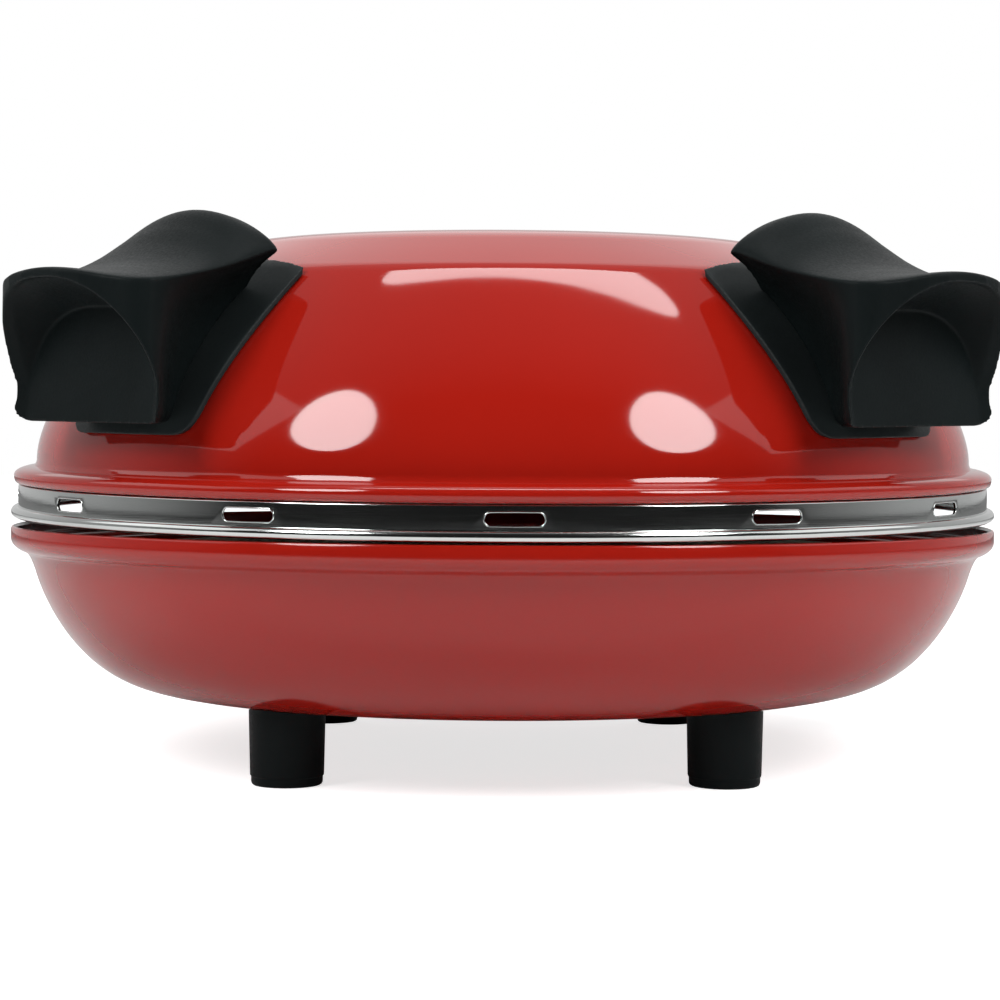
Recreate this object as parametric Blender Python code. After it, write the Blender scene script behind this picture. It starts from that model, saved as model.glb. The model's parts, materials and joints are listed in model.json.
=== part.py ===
"""Countertop pizza oven: an enamelled bowl with a stone, and a hinged dome on a slotted steel band."""

import math

import bmesh
import bpy
from mathutils import Matrix, Vector

MM = 0.001
FULL_TURN = math.tau
HALF_TURN = math.pi

# Driving sizes of the oven
RIM_R = 182.5 * MM
RIM_Z = 85.5 * MM
BOWL_DEPTH = 60.3 * MM
LID_TOP = 105.0 * MM
SHEET = 1.2 * MM
SEAT = 0.3 * MM
OVERRUN = 6.0 * MM
BODY_STEPS = 60
SMALL_STEPS = 12

# Hinge of the lid, behind the bowl
HINGE_REACH = 12.0 * MM
HINGE_UP = 13.5 * MM
HINGE_Y = RIM_R + HINGE_REACH
EAR_R = 7.0 * MM
PIN_R = 2.0 * MM
PIN_PLAY = 0.1 * MM
FRONT_GAP = 0.4 * MM
REAR_GAP = 7.6 * MM
LID_TILT = math.asin((REAR_GAP - FRONT_GAP) / (RIM_R + RIM_R))
PIVOT_Z = (HINGE_UP - FRONT_GAP - math.sin(LID_TILT) * (RIM_R + HINGE_Y)) / math.cos(LID_TILT)

# Control gear at the right rear, and the grips at the front
CONTROL_TURN = math.radians(120)
HANDLE_TURN = math.radians(47)


for old in list(bpy.data.objects):
    bpy.data.objects.remove(old, do_unlink=True)


def finish(name, colour, roughness, metallic=0.0):
    """A Principled material with one colour."""
    material = bpy.data.materials.new(name)
    material.use_nodes = True
    shader = material.node_tree.nodes["Principled BSDF"]
    shader.inputs["Base Color"].default_value = (*colour, 1)
    shader.inputs["Roughness"].default_value = roughness
    shader.inputs["Metallic"].default_value = metallic
    return material


def frame(name, location, parent=None, rotation=(0, 0, 0)):
    """An empty that carries other objects."""
    empty = bpy.data.objects.new(name, None)
    bpy.context.scene.collection.objects.link(empty)
    empty.parent = parent
    empty.location = location
    empty.rotation_euler = rotation
    return empty


def piece(name, shape, colour, roughness, metallic, parent, turn=0.0):
    """A named solid from a bmesh, shaded smooth but for its edges."""
    mesh = bpy.data.meshes.new(name)
    shape.to_mesh(mesh)
    shape.free()
    mesh.shade_smooth()
    mesh.set_sharp_from_angle(angle=math.radians(32))
    solid = bpy.data.objects.new(name, mesh)
    bpy.context.scene.collection.objects.link(solid)
    mesh.materials.append(finish(name, colour, roughness, metallic))
    solid.parent = parent
    solid.rotation_euler.z = turn
    return solid


def cutter(name, shape, parent, turn=0.0):
    """A helper solid for Booleans, left out of the object."""
    mesh = bpy.data.meshes.new(name)
    shape.to_mesh(mesh)
    shape.free()
    tool = bpy.data.objects.new(name, mesh)
    bpy.context.scene.collection.objects.link(tool)
    tool.hide_render = True
    tool.display_type = "WIRE"
    tool.parent = parent
    tool.rotation_euler.z = turn
    return tool


def combine(solid, tool, operation="DIFFERENCE"):
    """A Boolean with the exact solver."""
    modifier = solid.modifiers.new(tool.name, "BOOLEAN")
    modifier.operation = operation
    modifier.object = tool
    modifier.solver = "EXACT"


def bezier(start, pull, end, steps):
    """Points after start along a quadratic curve that leaves towards pull and ends at end."""
    found = []
    for i in range(1, steps + 1):
        t = i / steps
        found.append(
            tuple(a * (1 - t) ** 2 + 2 * b * t * (1 - t) + c * t**2 for a, b, c in zip(start, pull, end))
        )
    return found


def offset(outline, distance):
    """The outline moved outwards, square to itself. Points on the axis stay on it."""
    moved = []
    for i, (r, z) in enumerate(outline):
        before = Vector(outline[i]) - Vector(outline[i - 1]) if i else None
        after = Vector(outline[i + 1]) - Vector(outline[i]) if i + 1 < len(outline) else None
        ways = [way.normalized() for way in (before, after) if way is not None]
        along = sum(ways, Vector((0, 0))).normalized()
        stretch = 1 / max(along.dot(ways[0]), 0.5)
        new_r = 0.0 if r == 0 else r - along.y * distance * stretch
        moved.append((new_r, z + along.x * distance * stretch))
    return moved


def turned(outline, steps=BODY_STEPS):
    """The (radius, height) outline spun about Z. It closes on itself or ends on the axis."""
    shape = bmesh.new()
    verts = [shape.verts.new((r, 0, z)) for r, z in outline]
    edges = [shape.edges.new(pair) for pair in zip(verts, verts[1:])]
    if outline[0][0] > 0 or outline[-1][0] > 0:
        edges.append(shape.edges.new((verts[-1], verts[0])))
    bmesh.ops.spin(
        shape,
        geom=verts + edges,
        cent=(0, 0, 0),
        axis=(0, 0, 1),
        dvec=(0, 0, 0),
        angle=FULL_TURN,
        steps=steps,
        use_merge=True,
    )
    bmesh.ops.remove_doubles(shape, verts=shape.verts, dist=MM * MM)
    bmesh.ops.recalc_face_normals(shape, faces=shape.faces)
    return shape


def add_rod(shape, start, end, radius, steps=SMALL_STEPS, end_radius=None):
    """A round rod or cone between two points, added to a bmesh."""
    start, end = Vector(start), Vector(end)
    way = end - start
    turn = Vector((0, 0, 1)).rotation_difference(way.normalized()).to_matrix().to_4x4()
    bmesh.ops.create_cone(
        shape,
        cap_ends=True,
        segments=steps,
        radius1=radius,
        radius2=radius if end_radius is None else end_radius,
        depth=way.length,
        matrix=Matrix.Translation((start + end) / 2) @ turn,
    )


def rods(ends, radius, steps=SMALL_STEPS):
    """Several round rods in one bmesh."""
    shape = bmesh.new()
    for start, end in ends:
        add_rod(shape, start, end, radius, steps)
    return shape


def screw(name, head, tip, shaft_r, head_r, head_height, parent):
    """A cheese-head screw as one closed body, its head outside the point called head."""
    shape = bmesh.new()
    head, tip = Vector(head), Vector(tip)
    way = (tip - head).normalized()
    stations = [
        (head - way * head_height, head_r * 0.8),
        (head - way * head_height * 0.6, head_r),
        (head, head_r),
        (head, shaft_r),
        (tip, shaft_r),
    ]
    side = way.orthogonal().normalized()
    up = way.cross(side)
    rings = []
    for centre, radius in stations:
        ring = []
        for i in range(SMALL_STEPS):
            angle = FULL_TURN * i / SMALL_STEPS
            ring.append(shape.verts.new(centre + (side * math.cos(angle) + up * math.sin(angle)) * radius))
        rings.append(ring)
    skin(shape, rings)
    return piece(name, shape, ZINC, 0.3, 1, parent)


def wall_screw(name, turn, seat, way, length, sizes, parent, drilled):
    """A screw in the radial plane at turn, driven along way from seat, and its bore."""
    spin = Matrix.Rotation(turn, 4, "Z")
    head = spin @ Vector((0, -seat[0], seat[1]))
    along = spin @ Vector((0, -way[0], way[1])).normalized()
    tip = head + along * length
    shaft_r, head_r, head_height = sizes
    screw(name, head, tip, shaft_r, head_r, head_height, parent)
    bore = rods([(head - along * OVERRUN, tip + along * SCREW_PLAY)], shaft_r + SCREW_PLAY)
    bore = cutter(name + "_bore", bore, parent)
    for solid in drilled:
        combine(solid, bore)


def skin(shape, rings):
    """Faces between rings of points, closed at both ends."""
    count = len(rings[0])
    faces = [shape.faces.new(list(reversed(rings[0]))), shape.faces.new(rings[-1])]
    for low, high in zip(rings, rings[1:]):
        for i in range(count):
            j = (i + 1) % count
            faces.append(shape.faces.new((low[i], low[j], high[j], high[i])))
    bmesh.ops.recalc_face_normals(shape, faces=faces)


def upright_rounded(shape, width):
    """Bevels the edges that run along Y at the lower end of a block."""
    low = min(vert.co.z for vert in shape.verts)
    edges = []
    for edge in shape.edges:
        a, b = (vert.co for vert in edge.verts)
        if abs(a.y - b.y) > MM and max(a.z, b.z) < low + MM:
            edges.append(edge)
    bmesh.ops.bevel(shape, geom=edges, offset=width, segments=3, profile=0.5, affect="EDGES")
    return shape


def loft(sections):
    """A closed solid through sections that hold the same number of points."""
    shape = bmesh.new()
    skin(shape, [[shape.verts.new(point) for point in section] for section in sections])
    return shape


def slab(outline, low, high, axis="X"):
    """A flat outline given in the two other axes and pushed along one axis from low to high."""
    shape = bmesh.new()
    sections = []
    for level in (low, high):
        if axis == "X":
            sections.append([shape.verts.new((level, a, b)) for a, b in outline])
        elif axis == "Y":
            sections.append([shape.verts.new((a, level, b)) for a, b in outline])
        else:
            sections.append([shape.verts.new((a, b, level)) for a, b in outline])
    skin(shape, sections)
    return shape


def box(low, high):
    """The outline of a rectangle, for slab."""
    return [(low[0], low[1]), (high[0], low[1]), (high[0], high[1]), (low[0], high[1])]


def tube(name, route, radius, colour, roughness, metallic, parent, turn=0.0):
    """A round tube along a route of points."""
    curve = bpy.data.curves.new(name, "CURVE")
    curve.dimensions = "3D"
    curve.bevel_depth = radius
    curve.bevel_resolution = 1
    curve.use_fill_caps = True
    spline = curve.splines.new("POLY")
    spline.points.add(len(route) - 1)
    for point, place in zip(spline.points, route):
        point.co = (*place, 1)
    curve.materials.append(finish(name, colour, roughness, metallic))
    rod = bpy.data.objects.new(name, curve)
    bpy.context.scene.collection.objects.link(rod)
    rod.parent = parent
    rod.rotation_euler.z = turn
    return rod


ENAMEL = (0.47, 0.012, 0.008)
BLACK = (0.012, 0.013, 0.013)
STEEL = (0.62, 0.63, 0.62)
ZINC = (0.45, 0.46, 0.46)
HEATER = (0.16, 0.15, 0.14)

# The oven's axis stands off the origin so that the origin is the middle of its footprint
oven = frame("oven_axis", (0, (RIM_R - HINGE_Y - EAR_R) / 2, 0))
base = frame("base_rim_centre", (0, 0, RIM_Z), oven)
hinge = frame("lid_hinge_axis", (0, HINGE_Y, RIM_Z + HINGE_UP), oven, (LID_TILT, 0, 0))
lid = frame("lid_bead_centre", (0, -HINGE_Y, -PIVOT_Z), hinge)

# Base shell: a bowl whose wall runs on a superellipse between neck and floor
LIP_DROP = 4.5 * MM
LIP_PULL = 0.2 * MM
LIP_TURN = 5.0 * MM
LIP_TURN_PULL = 4.6 * MM
LIP_TURN_DROP = 4.9 * MM
NECK_INSET = 8.3 * MM
NECK_R = RIM_R - NECK_INSET
NECK_PULL = 0.6 * MM
NECK_RISE = 2.2 * MM
NECK_DROP = 12.0 * MM
FLOOR_INSET = 62.5 * MM
FLOOR_R = RIM_R - FLOOR_INSET
WALL_STEPS = 8
WALL_POWER_R = 2.45
WALL_POWER_Z = 1.3


def bowl_outline():
    """Outside of the bowl from its rim down to the axis."""
    turn_at = (RIM_R - LIP_TURN, -LIP_DROP - LIP_TURN_DROP)
    outline = [(RIM_R, 0.0), (RIM_R, -LIP_DROP)]
    outline += bezier(outline[-1], (RIM_R - LIP_PULL, -LIP_DROP - LIP_TURN_PULL), turn_at, 3)
    outline += bezier(turn_at, (NECK_R + NECK_PULL, -NECK_DROP + NECK_RISE), (NECK_R, -NECK_DROP), 2)
    for i in range(1, WALL_STEPS + 1):
        angle = HALF_TURN / 2 * i / WALL_STEPS
        r = FLOOR_R + (NECK_R - FLOOR_R) * max(math.cos(angle), 0) ** (2 / WALL_POWER_R)
        z = -NECK_DROP - (BOWL_DEPTH - NECK_DROP) * math.sin(angle) ** (2 / WALL_POWER_Z)
        outline.append((r, z))
    return outline + [(0.0, -BOWL_DEPTH)]


def bowl_wall_r(z):
    """Outside radius of the bowl's wall at a height below the neck."""
    share = min((-NECK_DROP - z) / (BOWL_DEPTH - NECK_DROP), 1)
    return FLOOR_R + (NECK_R - FLOOR_R) * (1 - share**WALL_POWER_Z) ** (1 / WALL_POWER_R)


def bowl_normal(z):
    """Direction square to the bowl's wall at a height, as a radius and height."""
    slope = (bowl_wall_r(z + MM) - bowl_wall_r(z - MM)) / (MM + MM)
    return Vector((1, -slope)).normalized()


def bowl_skin(near, far):
    """A sheet that lies outside the bowl between two distances from it."""
    wall = [point for point in bowl_outline() if point[1] <= -NECK_DROP and point[0] > 0]
    return turned(offset(wall, far) + list(reversed(offset(wall, near))))


bowl = bowl_outline()
base_shell = piece("base_shell", turned(bowl + list(reversed(offset(bowl, -SHEET)))), ENAMEL, 0.18, 0, base)
bowl_space = [(0.0, OVERRUN), (RIM_R + SEAT, OVERRUN)] + offset(bowl, SEAT)
bowl_envelope = cutter("bowl_envelope", turned(bowl_space), base)
bowl_inside = cutter("bowl_inside", turned([(0.0, 0.0)] + offset(bowl, -SHEET - SEAT)), base)

# Pan under the stone, which carries the stone on its rim
PAN_SHEET = 0.8 * MM
PAN_INSET = 26.5 * MM
PAN_RIM_WIDE = 9.0 * MM
PAN_LEAN = 13.0 * MM
PAN_RIM_R = RIM_R - PAN_INSET
PAN_RIM_IN_R = PAN_RIM_R - PAN_RIM_WIDE
PAN_FLOOR_R = PAN_RIM_IN_R - PAN_LEAN
PAN_RIM_DROP = 21.6 * MM
PAN_CLEAR = 14.3 * MM
PAN_DEPTH = BOWL_DEPTH - PAN_CLEAR

pan = [(PAN_RIM_R, -PAN_RIM_DROP), (PAN_RIM_IN_R, -PAN_RIM_DROP)]
pan += [(PAN_FLOOR_R, -PAN_DEPTH), (0.0, -PAN_DEPTH)]
pan_under = [(0.0, -PAN_DEPTH - PAN_SHEET), (PAN_FLOOR_R + PAN_SHEET, -PAN_DEPTH - PAN_SHEET)]
pan_under += [(PAN_RIM_IN_R + PAN_SHEET, -PAN_RIM_DROP - PAN_SHEET), (PAN_RIM_R, -PAN_RIM_DROP - PAN_SHEET)]
base_reflector = piece("base_reflector", turned(pan + pan_under, 48), STEEL, 0.3, 1, base)

# Baking stone: a chamfered disc
STONE_INSET = 1.0 * MM
STONE_R = PAN_RIM_R - STONE_INSET
STONE_THICK = 12.0 * MM
STONE_CHAMFER = 2.0 * MM
STONE_LOW = SEAT - PAN_RIM_DROP
stone = [
    (0.0, STONE_LOW + STONE_THICK),
    (STONE_R - STONE_CHAMFER, STONE_LOW + STONE_THICK),
    (STONE_R, STONE_LOW + STONE_THICK - STONE_CHAMFER),
    (STONE_R, STONE_LOW + STONE_CHAMFER),
    (STONE_R - STONE_CHAMFER, STONE_LOW),
    (0.0, STONE_LOW),
]
piece("baking_stone", turned(stone, 48), (0.62, 0.52, 0.4), 0.9, 0, base)

# Feet, each clamped by one long screw through pan, bush and bowl
SCREW_R = 2.0 * MM
SCREW_PLAY = 0.3 * MM
SCREW_BITE = 12.0 * MM
SCREW_HEAD_R = 4.2 * MM
SCREW_HEAD = 2.4 * MM
FRONT_FOOT_SHARE = 0.622
REAR_FOOT_SHARE = 0.588
FOOT_Y_SHARE = 0.792
FRONT_FOOT_X = FLOOR_R * FRONT_FOOT_SHARE
REAR_FOOT_X = FLOOR_R * REAR_FOOT_SHARE
FOOT_Y = FLOOR_R * FOOT_Y_SHARE
FEET_TURN = math.radians(1.0)
FOOT_R = 13.2 * MM
FOOT_TAPER = 0.6 * MM
FOOT_EDGE = 1.5 * MM
BUSH_R = 5.0 * MM


def bowl_turned(x, y):
    """A place under the bowl, which sits turned a little on its hinge side."""
    across, along = math.cos(FEET_TURN), math.sin(FEET_TURN)
    return (x * across - y * along, x * along + y * across)


foot_places = {
    "front_left": bowl_turned(-FRONT_FOOT_X, -FOOT_Y),
    "front_right": bowl_turned(FRONT_FOOT_X, -FOOT_Y),
    "rear_left": bowl_turned(-REAR_FOOT_X, FOOT_Y),
    "rear_right": bowl_turned(REAR_FOOT_X, FOOT_Y),
}
foot_low = -RIM_Z
screw_tip = -BOWL_DEPTH - SCREW_BITE
foot_lines = [((x, y, 0), (x, y, screw_tip - SCREW_PLAY)) for x, y in foot_places.values()]
foot_bores = cutter("foot_bores", rods(foot_lines, SCREW_R + SCREW_PLAY), base)
combine(base_reflector, foot_bores)

foot_outline = [
    (0.0, -BOWL_DEPTH + OVERRUN),
    (FOOT_R, -BOWL_DEPTH + OVERRUN),
    (FOOT_R - FOOT_TAPER, foot_low + FOOT_EDGE),
    (FOOT_R - FOOT_TAPER - FOOT_EDGE, foot_low),
    (0.0, foot_low),
]
for corner, (x, y) in foot_places.items():
    foot = piece("foot_" + corner, turned(foot_outline, 24), BLACK, 0.55, 0, base)
    foot.location = (x, y, 0)
    combine(foot, bowl_envelope)
    combine(foot, foot_bores)
    spacer = rods([((x, y, -PAN_DEPTH - PAN_SHEET - SEAT), (x, y, -BOWL_DEPTH - OVERRUN))], BUSH_R, 12)
    spacer = piece("reflector_spacer_" + corner, spacer, ZINC, 0.35, 1, base)
    combine(spacer, bowl_inside, "INTERSECT")
    combine(spacer, foot_bores)
    head = (x, y, SEAT - PAN_DEPTH)
    screw("foot_screw_" + corner, head, (x, y, screw_tip), SCREW_R, SCREW_HEAD_R, SCREW_HEAD, base)

# Heaters: bent round tubes whose two ends run side by side out through the wall
TUBE_R = 3.2 * MM
END_SPACING = 12.0 * MM
LOOP_STEPS = 36


def on_circle(radius, angle, z):
    """A point of a loop. The angle runs from the outlet, which lies towards -Y."""
    return (radius * math.sin(angle), -radius * math.cos(angle), z)


def arc(radius, sweep, z):
    """Points round a circle from the first angle of a sweep, left out, to the last."""
    first, last = sweep
    return [on_circle(radius, first + (last - first) * i / LOOP_STEPS, z) for i in range(1, LOOP_STEPS + 1)]


def loop_route(radii, reach, z, bend):
    """Route of a heater: out of one end, round the loops and back to the other end."""
    outer, inner = radii[0], radii[-1]
    first = math.asin(END_SPACING / outer)
    corner = (END_SPACING, -math.sqrt(outer**2 - END_SPACING**2), z)
    route = [(END_SPACING, -reach, z), (END_SPACING, corner[1] - bend, z)]
    route += bezier(route[-1], corner, on_circle(outer, first + bend / outer, z), 4)
    last = FULL_TURN - math.asin(END_SPACING / inner)
    if len(radii) == 1:
        sweep = (first + bend / outer, last - bend / outer)
        route += arc(outer, sweep, z)
        corner = (-END_SPACING, corner[1], z)
    else:
        turn_at = last - 2 * bend / inner
        sweep = (first + bend / outer, turn_at - bend / outer)
        route += arc(outer, sweep, z)
        middle = (outer + inner) / 2
        back = on_circle(inner, turn_at - bend / inner, z)
        route += bezier(route[-1], on_circle(outer, turn_at, z), on_circle(middle, turn_at, z), 3)
        route += bezier(route[-1], on_circle(inner, turn_at, z), back, 3)
        last = -math.asin(END_SPACING / inner)
        sweep = (turn_at - bend / inner, last + bend / inner)
        route += arc(inner, sweep, z)
        corner = (-END_SPACING, -math.sqrt(inner**2 - END_SPACING**2), z)
    route += bezier(route[-1], corner, (-END_SPACING, corner[1] - bend, z), 4)
    return route + [(-END_SPACING, -reach, z)]


def twin_bush(name, start, end, z, parent, turn):
    """A flat-sided ceramic bush with a bore for each end of a heater."""
    outline = []
    for side in (1, -1):
        for i in range(7):
            angle = HALF_TURN * i / 6 - HALF_TURN / 2
            x = side * (END_SPACING + BUSH_OUT_R * math.cos(angle))
            outline.append((x, z + side * BUSH_OUT_R * math.sin(angle)))
    bush = piece(name, slab(outline, -end, -start, "Y"), (0.82, 0.8, 0.74), 0.6, 0, parent, turn)
    lines = [((x, OVERRUN - start, z), (x, -end - OVERRUN, z)) for x in (-END_SPACING, END_SPACING)]
    combine(bush, cutter(name + "_bores", rods(lines, TUBE_R + SEAT), parent, turn))
    grown = [(x * BUSH_HOLE_SHARE, z + (height - z) * BUSH_HOLE_SHARE) for x, height in outline]
    return cutter(name + "_hole", slab(grown, -end - OVERRUN, OVERRUN - start, "Y"), parent, turn)


def cradle(name, radius, angle, floor_z, tube_z, parent, turn):
    """A bent clip that carries the tube at one place of its loop."""
    shape = bmesh.new()
    half = CLIP_HALF
    gap = TUBE_R + CLIP_PLAY
    rise = 1 if tube_z > floor_z else -1
    top = tube_z + rise * CLIP_HOLD
    outline = [(-half, floor_z), (half, floor_z), (half, top), (gap, top)]
    for i in range(1, 6):
        bow = HALF_TURN * i / 6
        outline.append((gap * math.cos(bow), tube_z - rise * gap * math.sin(bow)))
    outline += [(-gap, top), (-half, top)]
    sections = []
    for side in (-CLIP_WIDE / 2, CLIP_WIDE / 2):
        ring = []
        for a, z in outline:
            along = Vector((math.sin(angle), -math.cos(angle), 0))
            across = Vector((math.cos(angle), math.sin(angle), 0))
            place = along * (radius + a) + across * side
            ring.append(shape.verts.new((place.x, place.y, z)))
        sections.append(ring)
    skin(shape, sections)
    return piece(name, shape, STEEL, 0.35, 1, parent, turn)


CLIP_HALF = 5.5 * MM
CLIP_WIDE = 5.0 * MM
CLIP_HOLD = 1.8 * MM
CLIP_PLAY = 0.7 * MM
HEATER_BEND = 10.0 * MM
LOWER_LOOP_INSET = 30.0 * MM
LOWER_LOOP_R = PAN_FLOOR_R - LOWER_LOOP_INSET
LOWER_RISE = 11.0 * MM
LOWER_Z = LOWER_RISE - PAN_DEPTH
LOWER_END_INSET = 13.5 * MM
LOWER_REACH = RIM_R - LOWER_END_INSET
BUSH_OUT_R = 5.5 * MM
BUSH_HOLE_SHARE = 1.06
CLIP_ANGLES = {"a": math.radians(60), "b": math.radians(180), "c": math.radians(300)}

lower_route = loop_route([LOWER_LOOP_R], LOWER_REACH, LOWER_Z, HEATER_BEND)
tube("lower_element", lower_route, TUBE_R, HEATER, 0.5, 0.8, base, CONTROL_TURN)
for side, clip_angle in CLIP_ANGLES.items():
    cradle("lower_clip_" + side, LOWER_LOOP_R, clip_angle, SEAT - PAN_DEPTH, LOWER_Z, base, CONTROL_TURN)

bush_inside = bowl_wall_r(LOWER_Z) - OVERRUN
bush_outside = bowl_wall_r(LOWER_Z) + SHEET
base_bush_hole = twin_bush("base_terminal_bush", bush_inside, bush_outside, LOWER_Z, base, CONTROL_TURN)
combine(base_shell, base_bush_hole)
pan_holes = rods(
    [((s, -LOWER_LOOP_R, LOWER_Z), (s, -PAN_RIM_R, LOWER_Z)) for s in (-END_SPACING, END_SPACING)],
    TUBE_R + OVERRUN / 4,
)
combine(base_reflector, cutter("pan_holes", pan_holes, base, CONTROL_TURN))

# Control housing: a tapered moulding that hugs the bowl under its rim
HOUSING_TOP = -10.5 * MM
HOUSING_RISE = 8.3 * MM
HOUSING_LOW = HOUSING_RISE - BOWL_DEPTH
HOUSING_PROUD = 5.5 * MM
HOUSING_LEAN = 16.0 * MM
HOUSING_TOP_REACH = RIM_R + HOUSING_PROUD
HOUSING_LOW_REACH = HOUSING_TOP_REACH - HOUSING_LEAN
HOUSING_TOP_HALF = 46.0 * MM
HOUSING_TAPER = 4.0 * MM
HOUSING_LOW_HALF = HOUSING_TOP_HALF - HOUSING_TAPER
HOUSING_BACK = FLOOR_R
HOUSING_WALL = 2.4 * MM
HOUSING_ROUND = 4.0 * MM
BOSS_INSET = 5.0 * MM
BOSS_X = HOUSING_LOW_HALF - BOSS_INSET
BOSS_Z = (HOUSING_TOP + HOUSING_LOW) / 2
BOSS_R = 4.5 * MM
BOSS_LONG = HOUSING_PROUD + HOUSING_PROUD
SHIELD_SHEET = 0.8 * MM


def housing_block(inset, back):
    """The tapered block of the housing, drawn in by inset on every side but the back."""
    top, low = HOUSING_TOP - inset, HOUSING_LOW + inset
    corners = []
    for z, reach, half in (
        (low, HOUSING_LOW_REACH - inset, HOUSING_LOW_HALF - inset),
        (top, HOUSING_TOP_REACH - inset, HOUSING_TOP_HALF - inset),
    ):
        corners.append([(-half, -back, z), (half, -back, z), (half, -reach, z), (-half, -reach, z)])
    return loft(corners)


def out_of_wall(place):
    """True for a point of a block's outer face, not of the back that the wall cuts off."""
    return place.y < -HOUSING_BACK - MM


def rounded(shape, width, keep):
    """Bevels every edge between points that keep chooses."""
    edges = [edge for edge in shape.edges if all(keep(vert.co) for vert in edge.verts)]
    bmesh.ops.bevel(shape, geom=edges, offset=width, segments=2, profile=0.5, affect="EDGES")
    return shape


housing_shape = rounded(housing_block(0, HOUSING_BACK), HOUSING_ROUND, out_of_wall)
housing = piece("control_housing", housing_shape, BLACK, 0.5, 0, base, CONTROL_TURN)
housing_hollow = housing_block(HOUSING_WALL, HOUSING_BACK - OVERRUN)
combine(housing, cutter("housing_hollow", housing_hollow, base, CONTROL_TURN))
boss_turn = math.asin(BOSS_X / bowl_wall_r(BOSS_Z))
boss_seat = (bowl_wall_r(BOSS_Z), BOSS_Z)
boss_way = bowl_normal(BOSS_Z)
bosses = []
for side in (-boss_turn, boss_turn):
    spin = Matrix.Rotation(CONTROL_TURN + side, 4, "Z")
    along = spin @ Vector((0, -boss_way.x, boss_way.y))
    foot = spin @ Vector((0, -boss_seat[0], boss_seat[1]))
    bosses.append((foot - along * OVERRUN, foot + along * BOSS_LONG))
for place, ends in zip(("a", "b"), bosses):
    combine(housing, cutter("boss_" + place, rods([ends], BOSS_R), base), "UNION")
combine(housing, bowl_envelope)

shield = piece("heat_shield", bowl_skin(SEAT, SEAT + SHIELD_SHEET), STEEL, 0.3, 1, base)
shield_block = housing_block(HOUSING_WALL + SEAT, HOUSING_BACK - OVERRUN)
combine(shield, cutter("shield_block", shield_block, base, CONTROL_TURN), "INTERSECT")
combine(shield, base_bush_hole)
shield_gaps = cutter("shield_gaps", rods(bosses, BOSS_R + SEAT), base)
combine(shield, shield_gaps)
head_seat = Vector(boss_seat) - boss_way * (SHEET + SEAT + SEAT)
housing_sizes = (SCREW_R, SCREW_HEAD_R, SCREW_HEAD)
for place, side in (("a", -boss_turn), ("b", boss_turn)):
    turn = CONTROL_TURN + side
    label = "housing_screw_" + place
    drilled = (base_shell, housing)
    wall_screw(label, turn, head_seat, boss_way, BOSS_LONG - SHEET, housing_sizes, base, drilled)

# Thermostat, square to the sloping face of the housing
face_slope = math.atan2(HOUSING_TOP_REACH - HOUSING_LOW_REACH, HOUSING_TOP - HOUSING_LOW)
KNOB_Z = (HOUSING_TOP + HOUSING_LOW) / 2
KNOB_X = 12.0 * MM
KNOB_R = 13.0 * MM
KNOB_HIGH = 11.0 * MM
KNOB_WAIST = 1.2 * MM
SHAFT_R = 3.0 * MM
SHAFT_PLAY = 0.1 * MM
SHAFT_SUNK = 8.0 * MM
STAT_THICK = 5.0 * MM
STAT_HALF = 11.0 * MM


def face_reach(z):
    """Distance from the axis to the housing's sloping face at a height."""
    share = (z - HOUSING_LOW) / (HOUSING_TOP - HOUSING_LOW)
    return HOUSING_LOW_REACH + (HOUSING_TOP_REACH - HOUSING_LOW_REACH) * share


def face_frame(name, x, z):
    """An empty on the face whose +Z points out of it."""
    carrier = frame(name + "_turn", (0, 0, 0), base, (0, 0, CONTROL_TURN))
    return frame(name, (x, -face_reach(z), z), carrier, (HALF_TURN / 2 + face_slope, 0, 0))


knob_axis = face_frame("knob_axis", KNOB_X, KNOB_Z)
knob_outline = [
    (0.0, KNOB_HIGH),
    (KNOB_R - KNOB_WAIST - KNOB_WAIST, KNOB_HIGH),
    (KNOB_R - KNOB_WAIST, KNOB_HIGH - KNOB_WAIST),
    (KNOB_R, SEAT + KNOB_WAIST),
    (KNOB_R, SEAT),
    (0.0, SEAT),
]
knob = piece("thermostat_knob", turned(knob_outline, 32), BLACK, 0.45, 0, knob_axis)
RIB_WIDE = 3.0 * MM
RIB_HIGH = 2.0 * MM
rib_half = KNOB_R - KNOB_WAIST - KNOB_WAIST
rib_outline = box((-RIB_WIDE / 2, -rib_half), (RIB_WIDE / 2, rib_half))
rib = slab(rib_outline, KNOB_HIGH - MM, KNOB_HIGH + RIB_HIGH, "Z")
combine(knob, cutter("knob_rib", rib, knob_axis), "UNION")
shaft_bore = rods([((0, 0, -OVERRUN), (0, 0, SHAFT_SUNK + SEAT))], SHAFT_R + SHAFT_PLAY)
shaft_bore = cutter("shaft_bore", shaft_bore, knob_axis)
combine(knob, shaft_bore)
combine(housing, shaft_bore)
stat_top = -HOUSING_WALL - SEAT
shaft = rods([((0, 0, stat_top + SEAT), (0, 0, SHAFT_SUNK))], SHAFT_R)
piece("thermostat_shaft", shaft, ZINC, 0.35, 1, knob_axis)
stat_outline = box((-STAT_HALF, -STAT_HALF), (STAT_HALF, STAT_HALF))
stat = slab(stat_outline, stat_top - STAT_THICK, stat_top, "Z")
piece("thermostat_body", rounded(stat, MM, lambda place: place.z > stat_top - MM), STEEL, 0.4, 1, knob_axis)

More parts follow.
